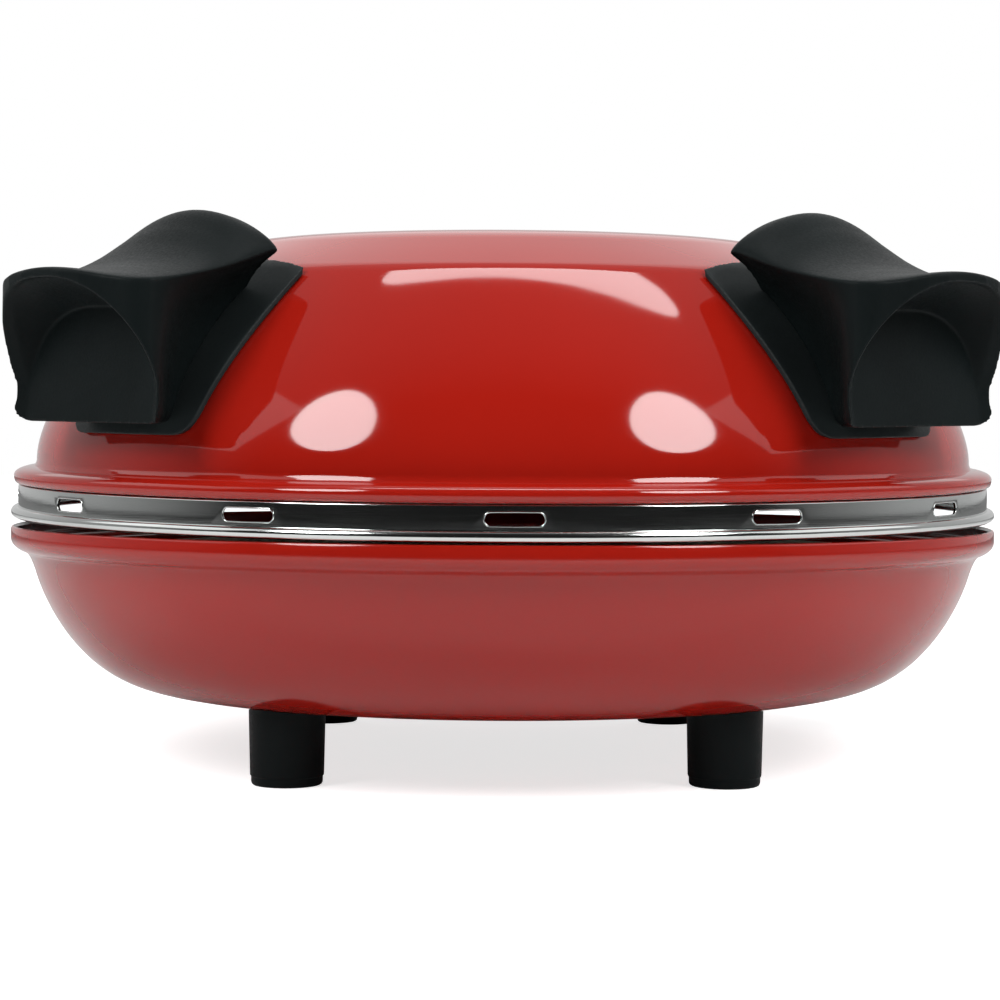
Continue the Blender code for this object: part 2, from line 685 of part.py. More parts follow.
LAMP_UP = 9.0 * MM
LAMP_DOWN = 7.0 * MM
LAMP_Z = (KNOB_Z + LAMP_UP, KNOB_Z - LAMP_DOWN)
LAMP_X = -20.0 * MM
LAMP_R = 3.2 * MM
LAMP_RISE = 1.6 * MM
LAMP_SUNK = 6.0 * MM
RED_LAMP = (0.7, 0.05, 0.02)
AMBER_LAMP = (0.75, 0.35, 0.03)
lamps = (("power_lamp", LAMP_Z[0], RED_LAMP), ("heat_lamp", LAMP_Z[1], AMBER_LAMP))
for lamp_name, lamp_z, colour in lamps:
    lamp_axis = face_frame(lamp_name + "_axis", LAMP_X, lamp_z)
    lamp_outline = [
        (0.0, LAMP_RISE),
        (LAMP_R * 0.7, LAMP_RISE * 0.75),
        (LAMP_R, SEAT),
        (LAMP_R, -LAMP_SUNK),
        (0.0, -LAMP_SUNK),
    ]
    piece(lamp_name, turned(lamp_outline, 12), colour, 0.15, 0, lamp_axis)
    hole = rods([((0, 0, -LAMP_SUNK), (0, 0, OVERRUN))], LAMP_R + SEAT, 12)
    combine(housing, cutter(lamp_name + "_hole", hole, lamp_axis))

# Cable gland in the housing's underside
GLAND_ASIDE = 18.0 * MM
GLAND_X = GLAND_ASIDE - HOUSING_LOW_HALF
GLAND_INSET = 12.0 * MM
GLAND_REACH = HOUSING_LOW_REACH - GLAND_INSET
GLAND_R = 6.0 * MM
GLAND_BORE_R = 3.2 * MM
GLAND_OUT = 9.0 * MM
GLAND_IN = 4.0 * MM
GLAND_COLLAR = 1.5 * MM
gland_outline = [
    (GLAND_BORE_R, GLAND_IN),
    (GLAND_R, GLAND_IN),
    (GLAND_R, -SEAT),
    (GLAND_R + GLAND_COLLAR, -SEAT),
    (GLAND_R + GLAND_COLLAR, -SEAT - GLAND_COLLAR),
    (GLAND_BORE_R + GLAND_COLLAR, -GLAND_OUT),
    (GLAND_BORE_R, -GLAND_OUT),
]
gland_turn = frame("gland_turn", (0, 0, 0), base, (0, 0, CONTROL_TURN))
gland_axis = frame("gland_axis", (GLAND_X, -GLAND_REACH, HOUSING_LOW), gland_turn)
piece("cable_gland", turned(gland_outline, 16), BLACK, 0.5, 0, gland_axis)
gland_hole = rods([((0, 0, -OVERRUN), (0, 0, OVERRUN))], GLAND_R + SEAT)
combine(housing, cutter("gland_hole", gland_hole, gland_axis))

# Lid shell: dome with a rolled flange, a curved wall, a crease, a shallow cone and a nearly flat top
BAND_INSET = 2.7 * MM
BAND_R = RIM_R - BAND_INSET
FLANGE_PROUD = 1.6 * MM
FLANGE_R = BAND_R + FLANGE_PROUD
FLANGE_LOW = 12.3 * MM
FLANGE_HIGH = 17.8 * MM
FLANGE_EDGE = 2.6 * MM
BAND_TOP = 12.0 * MM
PAN_RIM_Z = BAND_TOP + SEAT
VALLEY_INSET = 7.4 * MM
VALLEY_R = FLANGE_R - VALLEY_INSET
VALLEY_Z = 18.6 * MM
WALL_INSET = 1.6 * MM
WALL_R = VALLEY_R - WALL_INSET
WALL_Z = 22.5 * MM
WALL_BELLY = 1.2 * MM
WALL_PULL_R = WALL_R + WALL_BELLY
WALL_PULL_Z = 43.0 * MM
CREASE_INSET = 42.4 * MM
CREASE_R = WALL_R - CREASE_INSET
CREASE_Z = 87.8 * MM
SHOULDER_INSET = 29.0 * MM
SHOULDER_R = CREASE_R - SHOULDER_INSET
SHOULDER_Z = 99.8 * MM
TOP_INSET = 11.0 * MM
TOP_R = SHOULDER_R - TOP_INSET
TOP_DIP = 3.5 * MM
LID_WALL_STEPS = 8


def lid_outline():
    """Outside of the dome from its top down to the flange's edge."""
    outline = [(0.0, LID_TOP), (TOP_R, LID_TOP - TOP_DIP), (SHOULDER_R, SHOULDER_Z), (CREASE_R, CREASE_Z)]
    outline += bezier(outline[-1], (WALL_PULL_R, WALL_PULL_Z), (WALL_R, WALL_Z), LID_WALL_STEPS)
    return outline + [(VALLEY_R, VALLEY_Z)]


def dome_wall(share):
    """A place on the dome's curved wall, as a radius and height, and the direction square to it."""
    start = Vector((CREASE_R, CREASE_Z))
    pull = Vector((WALL_PULL_R, WALL_PULL_Z))
    end = Vector((WALL_R, WALL_Z))
    place = start * (1 - share) ** 2 + pull * (2 * share * (1 - share)) + end * share**2
    along = (pull - start) * (1 - share) + (end - pull) * share
    return place, Vector((-along.y, along.x)).normalized()


def lid_skin(near, far, steps=BODY_STEPS):
    """A sheet that lies outside the dome between two distances from it."""
    wall = [point for point in lid_outline() if point[0] > 0]
    return turned(offset(wall, far) + list(reversed(offset(wall, near))), steps)


dome = lid_outline()
roll = bezier(dome[-1], (FLANGE_R, FLANGE_HIGH), (FLANGE_R, (FLANGE_LOW + FLANGE_HIGH) / 2), 3)
roll += [(FLANGE_R - SHEET, FLANGE_LOW), (FLANGE_R - FLANGE_EDGE, FLANGE_LOW)]
recess = PAN_RIM_Z + PAN_SHEET + SEAT
roll += [(FLANGE_R - FLANGE_EDGE, recess), (VALLEY_R - SHEET, recess)]
inside = list(reversed(offset(dome[:-1], -SHEET)))
lid_shell = piece("lid_shell", turned(dome + roll + inside), ENAMEL, 0.12, 0, lid)
lid_envelope = offset(dome, SEAT) + [(VALLEY_R + SEAT, -OVERRUN), (0.0, -OVERRUN)]

# Vent band: shelf, wall and a bead that lands on the base rim
BAND_SHEET = 0.9 * MM
SHELF_WIDE = 8.0 * MM
SHELF_R = VALLEY_R - SHELF_WIDE
BEAD_R = 2.0 * MM
SLOT_COUNT = 13
SLOT_TURN = math.radians(1.2)
SLOT_LONG = 19.0 * MM
SLOT_HIGH = 4.6 * MM
SLOT_Z = 7.4 * MM
BAND_STEPS = SLOT_COUNT * 5
BEAD_STEPS = 7

bead_centre = RIM_R - BEAD_R
bead_from = math.acos((BAND_R - bead_centre) / BEAD_R)
bead_to = math.acos((BAND_R - BAND_SHEET - bead_centre) / BEAD_R) - FULL_TURN
band_outline = [(SHELF_R, BAND_TOP), (BAND_R, BAND_TOP)]
for i in range(BEAD_STEPS + 1):
    bead_angle = bead_from + (bead_to - bead_from) * i / BEAD_STEPS
    bead_r = bead_centre + BEAD_R * math.cos(bead_angle)
    band_outline.append((bead_r, BEAD_R + BEAD_R * math.sin(bead_angle)))
band_outline += [(BAND_R - BAND_SHEET, BAND_TOP - BAND_SHEET)]
band_outline += [(SHELF_R, BAND_TOP - BAND_SHEET)]
vent_band = piece("vent_band", turned(band_outline, BAND_STEPS), STEEL, 0.28, 1, lid)

slots = bmesh.new()
slot_outline = []
for i in range(8):
    end_angle = HALF_TURN / 2 - HALF_TURN * (i % 4) / 3 - (HALF_TURN if i > 3 else 0)
    end_x = (SLOT_LONG - SLOT_HIGH) / 2 * (1 if i < 4 else -1)
    slot_x = end_x + SLOT_HIGH / 2 * math.cos(end_angle)
    slot_outline.append((slot_x, SLOT_Z + SLOT_HIGH / 2 * math.sin(end_angle)))
for k in range(SLOT_COUNT):
    slot_turn = Matrix.Rotation(SLOT_TURN + FULL_TURN * k / SLOT_COUNT, 4, "Z")
    sections = []
    for y in (-BAND_R - OVERRUN, OVERRUN - BAND_R):
        sections.append([slots.verts.new(slot_turn @ Vector((x, y, z))) for x, z in slot_outline])
    skin(slots, sections)
combine(vent_band, cutter("vent_slots", slots, lid))

# Pan inside the dome, whose rim lies on the band's shelf
HOOD_RIM_INSET = 1.8 * MM
HOOD_RIM_WIDE = 18.0 * MM
HOOD_LEAN = 19.0 * MM
HOOD_TOP_LEAN = 15.0 * MM
HOOD_RIM_R = BAND_R - HOOD_RIM_INSET
HOOD_IN_R = HOOD_RIM_R - HOOD_RIM_WIDE
HOOD_BEND_R = HOOD_IN_R - HOOD_LEAN
HOOD_BEND_Z = 52.0 * MM
HOOD_TOP_R = HOOD_BEND_R - HOOD_TOP_LEAN
HOOD_TOP_Z = 72.0 * MM
hood = [
    (0.0, HOOD_TOP_Z),
    (HOOD_TOP_R, HOOD_TOP_Z),
    (HOOD_BEND_R, HOOD_BEND_Z),
    (HOOD_IN_R, PAN_RIM_Z + PAN_SHEET),
]
hood_inner = list(reversed(offset(hood, -PAN_SHEET)))[1:]
hood_ring = hood + [(HOOD_RIM_R, PAN_RIM_Z + PAN_SHEET), (HOOD_RIM_R, PAN_RIM_Z)]
hood_ring += [(HOOD_IN_R - PAN_SHEET, PAN_RIM_Z)] + hood_inner
lid_reflector = piece("lid_reflector", turned(hood_ring, 48), STEEL, 0.3, 1, lid)

UPPER_LOOP_INSET = 10.0 * MM
UPPER_LOOP_STEP = 40.0 * MM
UPPER_LOOP_R = HOOD_TOP_R - UPPER_LOOP_INSET
UPPER_INNER_R = UPPER_LOOP_R - UPPER_LOOP_STEP
UPPER_Z = 31.5 * MM
UPPER_END_PROUD = 5.6 * MM
UPPER_REACH = WALL_R + UPPER_END_PROUD
upper_route = loop_route([UPPER_LOOP_R, UPPER_INNER_R], UPPER_REACH, UPPER_Z, HEATER_BEND)
tube("upper_element", upper_route, TUBE_R, HEATER, 0.5, 0.8, lid, HALF_TURN)
for side, clip_angle in CLIP_ANGLES.items():
    hook_z = HOOD_TOP_Z - PAN_SHEET - SEAT
    cradle("upper_clip_" + side, UPPER_LOOP_R, clip_angle, hook_z, UPPER_Z, lid, HALF_TURN)

# Where the upper heater leaves the dome: ceramic bushes under a small cover
COVER_HALF = 24.0 * MM
COVER_LOW = 22.6 * MM
COVER_HIGH = 40.0 * MM
COVER_PROUD = 11.2 * MM
COVER_REACH = WALL_R + COVER_PROUD
bush_in = WALL_R - OVERRUN - OVERRUN / 2
bush_out = WALL_R + OVERRUN / 4
combine(lid_shell, twin_bush("lid_terminal_bush", bush_in, bush_out, UPPER_Z, lid, HALF_TURN))
ends = [((s, -UPPER_LOOP_R, UPPER_Z), (s, -HOOD_RIM_R, UPPER_Z)) for s in (-END_SPACING, END_SPACING)]
combine(lid_reflector, cutter("hood_holes", rods(ends, BUSH_OUT_R + SEAT), lid, HALF_TURN))


def cover_block(inset, back):
    """The block of the terminal cover, drawn in by inset on every side but the back."""
    half = COVER_HALF - inset
    corners = box((-half, -COVER_REACH + inset), (half, -back))
    return slab(corners, COVER_LOW + inset, COVER_HIGH - inset, "Z")


cover_shape = rounded(cover_block(0, HOUSING_BACK), HOUSING_WALL, out_of_wall)
cover = piece("lid_terminal_cover", cover_shape, BLACK, 0.5, 0, lid, HALF_TURN)
lid_body = cutter("lid_envelope", turned(lid_envelope), lid)
combine(cover, lid_body)
combine(cover, cutter("cover_hollow", cover_block(HOUSING_WALL, HOUSING_BACK - OVERRUN), lid, HALF_TURN))

# Hinge: a bracket with two ears on the bowl, an arm with a knuckle on the band, and a pin
EAR_IN = 21.0 * MM
EAR_SHEET = 2.5 * MM
BRACKET_HALF = 30.0 * MM
BRACKET_DEEP = 60.0 * MM
BRACKET_TOP = -14.0 * MM
BRACKET_LOW = -34.0 * MM
BRACKET_SHEET = 2.0 * MM
BRACKET_SCREW_X = 12.0 * MM
BRACKET_SCREW_Z = -23.0 * MM
BRACKET_SCREW_LONG = 7.0 * MM
BRACKET_HEAD_R = 3.6 * MM
EAR_BACK = 9.5 * MM
PIN_OUT = 3.0 * MM
KNUCKLE_R = 4.6 * MM
ARM_HALF = 18.0 * MM
ARM_SHEET = 2.0 * MM
ARM_FLANGE_HALF = 19.0 * MM
ARM_FLANGE_LOW = 4.8 * MM
ARM_FLANGE_HIGH = 11.6 * MM
ARM_RIVET_X = 13.0 * MM
ARM_RIVET_Z = 9.3 * MM
ARM_RIVET_R = 1.4 * MM
ARM_RIVET_HEAD_R = 2.2 * MM
ARM_RIVET_HEAD = 1.0 * MM
ARM_RIVET_LONG = 5.0 * MM

bracket = piece("hinge_base_bracket", bowl_skin(SEAT, SEAT + BRACKET_SHEET), ZINC, 0.35, 1, base)
flange_outline = box((-BRACKET_HALF, NECK_R - BRACKET_DEEP), (BRACKET_HALF, RIM_R))
flange_box = slab(flange_outline, BRACKET_LOW, BRACKET_TOP, "Z")
combine(bracket, cutter("bracket_flange", flange_box, base), "INTERSECT")
ear_outline = [(HINGE_Y - RIM_R / 4, BRACKET_LOW), (HINGE_Y - RIM_R / 8, BRACKET_LOW)]
ear_outline += [(HINGE_Y + EAR_R, BRACKET_TOP)]
for i in range(7):
    ear_angle = HALF_TURN * i / 6
    ear_outline.append((HINGE_Y + EAR_R * math.cos(ear_angle), HINGE_UP + EAR_R * math.sin(ear_angle)))
ear_outline += [(HINGE_Y - EAR_BACK, 0.0), (HINGE_Y - EAR_BACK, -NECK_DROP - SEAT)]
ear_outline += [(HINGE_Y - RIM_R / 4, -NECK_DROP - SEAT - SEAT)]
ears = slab(ear_outline, EAR_IN, EAR_IN + EAR_SHEET)
other_ear = slab(ear_outline, -EAR_IN - EAR_SHEET, -EAR_IN)
combine(bracket, cutter("ear_right", ears, base), "UNION")
combine(bracket, cutter("ear_left", other_ear, base), "UNION")
combine(bracket, bowl_envelope)
pin_end = EAR_IN + EAR_SHEET + PIN_OUT
pin_line = [((-pin_end, HINGE_Y, HINGE_UP), (pin_end, HINGE_Y, HINGE_UP))]
combine(bracket, cutter("pin_bore", rods(pin_line, PIN_R + PIN_PLAY), base))
bracket_way = bowl_normal(BRACKET_SCREW_Z)
bracket_seat = Vector((bowl_wall_r(BRACKET_SCREW_Z), BRACKET_SCREW_Z))
bracket_seat += bracket_way * (BRACKET_SHEET + SEAT + SEAT)
bracket_turn = math.asin(BRACKET_SCREW_X / NECK_R)
bracket_sizes = (SCREW_R, BRACKET_HEAD_R, SCREW_HEAD)
for place, side in (("a", -bracket_turn), ("b", bracket_turn)):
    turn = HALF_TURN + side
    label = "hinge_base_screw_" + place
    drilled = (base_shell, bracket)
    wall_screw(label, turn, bracket_seat, -bracket_way, BRACKET_SCREW_LONG, bracket_sizes, base, drilled)
piece("hinge_pin", rods(pin_line, PIN_R), ZINC, 0.25, 1, base)

knuckle = rods([((-ARM_HALF, HINGE_Y, PIVOT_Z), (ARM_HALF, HINGE_Y, PIVOT_Z))], KNUCKLE_R)
arm = piece("hinge_lid_arm", knuckle, ZINC, 0.35, 1, lid)
arm_low = BAND_R + SEAT
flange = turned(
    [
        (arm_low + ARM_SHEET, ARM_FLANGE_HIGH),
        (arm_low + ARM_SHEET, ARM_FLANGE_LOW),
        (arm_low, ARM_FLANGE_LOW),
        (arm_low, ARM_FLANGE_HIGH),
    ],
    BAND_STEPS,
)
flange = cutter("arm_flange_ring", flange, lid)
flange_outline = box((-ARM_FLANGE_HALF, RIM_R / 2), (ARM_FLANGE_HALF, RIM_R + OVERRUN))
flange_block = slab(flange_outline, -OVERRUN, BAND_TOP + OVERRUN, "Z")
combine(flange, cutter("arm_flange_block", flange_block, lid), "INTERSECT")
combine(arm, flange, "UNION")
plate_outline = box((arm_low + ARM_SHEET / 2, PIVOT_Z - ARM_SHEET / 2), (HINGE_Y, PIVOT_Z + ARM_SHEET / 2))
arm_plate = slab(plate_outline, -ARM_HALF, ARM_HALF)
combine(arm, cutter("arm_plate", arm_plate, lid), "UNION")
arm_bore = rods([((-pin_end, HINGE_Y, PIVOT_Z), (pin_end, HINGE_Y, PIVOT_Z))], PIN_R + PIN_PLAY)
combine(arm, cutter("arm_bore", arm_bore, lid))
arm_turn = math.asin(ARM_RIVET_X / BAND_R)
arm_seat = (arm_low + ARM_SHEET + SEAT, ARM_RIVET_Z)
arm_sizes = (ARM_RIVET_R, ARM_RIVET_HEAD_R, ARM_RIVET_HEAD)
for place, side in (("a", -arm_turn), ("b", arm_turn)):
    label = "hinge_lid_rivet_" + place
    drilled = (arm, vent_band)
    wall_screw(label, HALF_TURN + side, arm_seat, (-1, 0), ARM_RIVET_LONG, arm_sizes, lid, drilled)

# Grips: a saddle on top, pinched sides and a finger scoop outside
HANDLE_INSET = 8.0 * MM
HANDLE_LONG = 67.0 * MM
HANDLE_IN = CREASE_R + HANDLE_INSET
HANDLE_OUT = HANDLE_IN + HANDLE_LONG
HANDLE_HALF = 42.0 * MM
HANDLE_LOW = 35.7 * MM
HANDLE_TOP = 108.4 * MM
MOUNT_SHEET = 2.0 * MM
MOUNT_HALF = 33.5 * MM
MOUNT_TOP_HALF = 42.0 * MM
MOUNT_PROUD = 2.5 * MM
MOUNT_IN = CREASE_R - MOUNT_PROUD
MOUNT_LOW = 31.8 * MM
SIDE_POWER = 2.2
SIDE_STEPS = 4
ARCH_STEPS = 8
# Each row: place along the grip, height of the saddle's middle and of its edge, half-width at that edge
# and at the waist, as shares of the grip's length, height and half-width
GRIP_SHARES = [
    (0.000, 1.000, 0.780, 0.952, 0.476),
    (0.119, 0.970, 0.750, 0.957, 0.495),
    (0.239, 0.895, 0.717, 0.964, 0.505),
    (0.358, 0.810, 0.689, 0.969, 0.514),
    (0.478, 0.747, 0.667, 0.974, 0.543),
    (0.582, 0.719, 0.651, 0.979, 0.652),
    (0.642, 0.711, 0.642, 0.986, 0.819),
    (0.694, 0.703, 0.638, 0.990, 0.929),
    (0.739, 0.697, 0.637, 1.000, 1.000),
    (0.791, 0.696, 0.637, 0.990, 0.995),
    (0.866, 0.700, 0.635, 0.876, 0.886),
    (0.940, 0.708, 0.651, 0.681, 0.690),
    (0.982, 0.708, 0.673, 0.476, 0.476),
    (1.000, 0.700, 0.681, 0.262, 0.262),
]
SCOOP_BACK_PROUD = 9.2 * MM
SCOOP_BACK_TOP_R = WALL_R + SCOOP_BACK_PROUD
SCOOP_BACK_LEAN = 0.24
SCOOP_BACK_TOP = 74.0 * MM
SCOOP_BACK_HALF = 39.8 * MM
SCOOP_SPRING = 45.5 * MM
SCOOP_LIP_TOP = 82.5 * MM
SCOOP_LIP_HALF = 42.4 * MM
SCOOP_FOOT_PROUD = 19.0 * MM
SCOOP_PULL_PROUD = 7.2 * MM
SCOOP_FOOT_R = WALL_R + SCOOP_FOOT_PROUD
SCOOP_PULL_R = WALL_R + SCOOP_PULL_PROUD
SCOOP_PULL_Z = 50.6 * MM
SCOOP_LIP_INSET = 1.5 * MM
SCOOP_LIP_R = HANDLE_OUT - SCOOP_LIP_INSET
SCOOP_SHALLOW = 0.3 * MM
SCOOP_POWER = 2.6
SCOOP_STEPS = 7


def grip_section(share, crest, edge, cap, waist):
    """Points of one cross-section of a grip, seen from outside the oven."""
    y = -(HANDLE_IN + (HANDLE_OUT - HANDLE_IN) * share)
    height = HANDLE_TOP - HANDLE_LOW
    edge_z = HANDLE_LOW + height * edge
    side = []
    for i in range(SIDE_STEPS):
        up = i / SIDE_STEPS
        half = HANDLE_HALF * (waist + (cap - waist) * up**SIDE_POWER)
        side.append((half, y, HANDLE_LOW + (edge_z - HANDLE_LOW) * up))
    arch = []
    for i in range(ARCH_STEPS + 1):
        across = math.cos(HALF_TURN * i / ARCH_STEPS)
        bow = (1 - across**2 + math.sin(HALF_TURN * i / ARCH_STEPS)) / 2
        rise = height * (crest - edge) * bow
        arch.append((HANDLE_HALF * cap * across, y, edge_z + rise))
    return side + arch + [(-x, y, z) for x, y, z in reversed(side)]


def back_reach(z):
    """Distance of the scoop's back panel from the lid's axis at a height."""
    return SCOOP_BACK_TOP_R + (SCOOP_BACK_TOP - z) * SCOOP_BACK_LEAN


def lip_reach(z):
    """Distance of the scoop's lip from the lid's axis at a height, on a quadratic curve."""
    low, pull, top = HANDLE_LOW, SCOOP_PULL_Z, SCOOP_LIP_TOP
    a, b = low - 2 * pull + top, pull - low
    t = (math.sqrt(max(b * b + a * (z - low), 0)) - b) / a
    reach = SCOOP_FOOT_R * (1 - t) ** 2 + 2 * SCOOP_PULL_R * t * (1 - t) + SCOOP_LIP_R * t**2
    return max(reach, back_reach(z) + SCOOP_SHALLOW)


def scoop_arch(half, top, reach):
    """An arch with upright feet: reach gives the distance from the lid's axis at each height."""
    foot_z = HANDLE_LOW - OVERRUN
    right = [(half, foot_z), (half, HANDLE_LOW)]
    for i in range(SCOOP_STEPS + 1):
        angle = HALF_TURN / 2 * i / SCOOP_STEPS
        x = half * max(math.cos(angle), 0) ** (2 / SCOOP_POWER)
        z = SCOOP_SPRING + (top - SCOOP_SPRING) * math.sin(angle) ** (2 / SCOOP_POWER)
        right.append((x, z))
    whole = right + [(-x, z) for x, z in reversed(right[:-1])]
    return [(x, -reach(max(z, HANDLE_LOW)), z) for x, z in whole]


def scoop_cutter():
    """The finger scoop: a funnel from the back panel's arch out to the lip and beyond."""
    back = scoop_arch(SCOOP_BACK_HALF, SCOOP_BACK_TOP, back_reach)
    lip = scoop_arch(SCOOP_LIP_HALF, SCOOP_LIP_TOP, lip_reach)
    beyond = [(x, -HANDLE_OUT - OVERRUN, z) for x, y, z in lip]
    return loft([back, lip, beyond])


grip_space = offset(dome, SEAT + MOUNT_SHEET + SEAT)
grip_space += [(VALLEY_R + MOUNT_SHEET, -OVERRUN), (0.0, -OVERRUN)]
grip_envelope = cutter("grip_envelope", turned(grip_space), lid)
HANDLE_SCREW_X = 10.0 * MM
HANDLE_SCREW_LONG = 17.0 * MM
HANDLE_SCREW_SHARE = 0.36
handle_sizes = (SCREW_R, SCREW_HEAD_R, SCREW_HEAD)
wall_place, screw_way = dome_wall(HANDLE_SCREW_SHARE)
screw_seat = wall_place - screw_way * (SHEET + SEAT)
screw_turn = math.asin(HANDLE_SCREW_X / wall_place.x)
MOUNT_ROUND = 8.0 * MM
mount_outline = [
    (-MOUNT_HALF, MOUNT_LOW),
    (MOUNT_HALF, MOUNT_LOW),
    (MOUNT_TOP_HALF, HANDLE_TOP),
    (-MOUNT_TOP_HALF, HANDLE_TOP),
]

for side_name, turn in (("left", -HANDLE_TURN), ("right", HANDLE_TURN)):
    saddle = loft([grip_section(*row) for row in GRIP_SHARES])
    grip = piece("handle_" + side_name, saddle, BLACK, 0.5, 0, lid, turn)
    combine(grip, grip_envelope)
    combine(grip, cutter("scoop_" + side_name, scoop_cutter(), lid, turn))
    mount = piece("handle_" + side_name + "_mount", lid_skin(SEAT, SEAT + MOUNT_SHEET), BLACK, 0.5, 0, lid)
    block = slab(mount_outline, -RIM_R, -MOUNT_IN, "Y")
    block = upright_rounded(block, MOUNT_ROUND)
    combine(mount, cutter("mount_block_" + side_name, block, lid, turn), "INTERSECT")
    for place, side in (("a", -screw_turn), ("b", screw_turn)):
        label = "handle_screw_" + side_name + "_" + place
        drilled = (lid_shell, mount, grip)
        wall_screw(label, turn + side, screw_seat, screw_way, HANDLE_SCREW_LONG, handle_sizes, lid, drilled)

combine(base_shell, foot_bores)

# Rivets that hold the band to the dome, with the pan's rim between them
RIVET_R = 1.5 * MM
RIVET_HEAD_R = 2.5 * MM
RIVET_HEAD = 1.2 * MM
RIVET_OUT = 1.4 * MM
RIVET_AT_R = VALLEY_R + RIVET_OUT
RIVET_LONG = 5.4 * MM
RIVET_TURNS = {"front": 0.0, "right": FULL_TURN / 3, "left": -FULL_TURN / 3}
rivet_sizes = (RIVET_R, RIVET_HEAD_R, RIVET_HEAD)
rivet_seat = (RIVET_AT_R, BAND_TOP - BAND_SHEET - SEAT)
for place, rivet_turn in RIVET_TURNS.items():
    drilled = (vent_band, lid_reflector, lid_shell)
    wall_screw("band_rivet_" + place, rivet_turn, rivet_seat, (0, 1), RIVET_LONG, rivet_sizes, lid, drilled)
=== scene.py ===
import json
import math

import bpy
from mathutils import Matrix, Vector

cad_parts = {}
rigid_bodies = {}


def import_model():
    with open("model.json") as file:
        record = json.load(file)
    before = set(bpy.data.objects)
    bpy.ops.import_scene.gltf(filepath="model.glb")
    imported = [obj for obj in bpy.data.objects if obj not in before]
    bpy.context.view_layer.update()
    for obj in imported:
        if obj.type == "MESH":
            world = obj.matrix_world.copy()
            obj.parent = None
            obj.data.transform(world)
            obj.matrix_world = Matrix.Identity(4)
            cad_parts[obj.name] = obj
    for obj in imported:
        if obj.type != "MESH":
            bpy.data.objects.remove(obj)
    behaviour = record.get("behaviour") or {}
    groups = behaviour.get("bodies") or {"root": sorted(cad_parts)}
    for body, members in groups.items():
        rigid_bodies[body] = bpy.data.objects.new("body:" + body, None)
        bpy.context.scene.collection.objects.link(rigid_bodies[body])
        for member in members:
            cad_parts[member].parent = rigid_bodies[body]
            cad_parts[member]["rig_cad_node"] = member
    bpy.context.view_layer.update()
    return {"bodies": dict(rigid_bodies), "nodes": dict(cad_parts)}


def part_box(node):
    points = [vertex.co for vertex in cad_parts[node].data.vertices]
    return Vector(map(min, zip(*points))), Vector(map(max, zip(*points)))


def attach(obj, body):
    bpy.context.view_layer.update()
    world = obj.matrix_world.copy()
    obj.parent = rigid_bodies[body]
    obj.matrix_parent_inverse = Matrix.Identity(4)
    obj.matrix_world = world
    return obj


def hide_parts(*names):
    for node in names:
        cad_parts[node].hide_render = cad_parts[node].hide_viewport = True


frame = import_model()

# Studio: a pale floor, a white surround and soft lamps. The camera stands low in front, level with the
# dome's wall, so that the rim, the band and both grips are seen almost edge on.
MM = 0.001
PHOTO_WIDTH = 1000
FOCAL_PIXELS = 2513
AXIS_COLUMN = 503
HORIZON_ROW = 435
stone_low, stone_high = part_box("baking_stone")
AXIS_Y = (stone_low.y + stone_high.y) / 2
CAMERA_GAP = 950 * MM
CAMERA_HEIGHT = 119.3 * MM
CAMERA_ROLL = math.radians(0.3)

lens = bpy.data.cameras.new("camera")
lens.sensor_width = 36
lens.lens = FOCAL_PIXELS / PHOTO_WIDTH * lens.sensor_width
lens.shift_x = (PHOTO_WIDTH / 2 - AXIS_COLUMN) / PHOTO_WIDTH
camera = bpy.data.objects.new("camera", lens)
bpy.context.scene.collection.objects.link(camera)
camera.location = (0, AXIS_Y - CAMERA_GAP, CAMERA_HEIGHT)
camera_dip = math.atan((PHOTO_WIDTH / 2 - HORIZON_ROW) / FOCAL_PIXELS)
camera.rotation_euler = (math.pi / 2 - camera_dip, -CAMERA_ROLL, 0)
bpy.context.scene.camera = camera
bpy.context.scene.view_settings.view_transform = "Standard"


def new_material(name):
    """A material with its node tree and its Principled shader."""
    material = bpy.data.materials.new(name)
    material.use_nodes = True
    return material, material.node_tree, material.node_tree.nodes["Principled BSDF"]


def node(tree, kind, **settings):
    """A node whose sockets and properties are set by name. A node or socket given is linked."""
    made = tree.nodes.new("ShaderNode" + kind)
    for label, value in settings.items():
        socket = made.inputs.get(label.replace("_", " "))
        if socket is None:
            setattr(made, label, value)
        elif isinstance(value, bpy.types.NodeSocket):
            tree.links.new(value, socket)
        else:
            socket.default_value = value
    return made


def ramp(tree, factor, *stops):
    """A colour ramp over a value, with (place, colour) stops."""
    made = node(tree, "ValToRGB", Fac=factor)
    elements = made.color_ramp.elements
    while len(elements) < len(stops):
        elements.new(0.5)
    for element, (place, colour) in zip(elements, stops):
        element.position = place
        element.color = (*colour, 1) if len(colour) == 3 else colour
    return made.outputs["Color"]


FLOOR_WIDE = 12.0
bpy.ops.object.select_all(action="DESELECT")
bpy.ops.mesh.primitive_grid_add(x_subdivisions=8, y_subdivisions=8, size=FLOOR_WIDE)
floor = bpy.context.object
floor.name = "floor"
floor_finish, tree, shader = new_material("pale_floor")
shader.inputs["Roughness"].default_value = 0.9
shader.inputs["Specular IOR Level"].default_value = 0.1
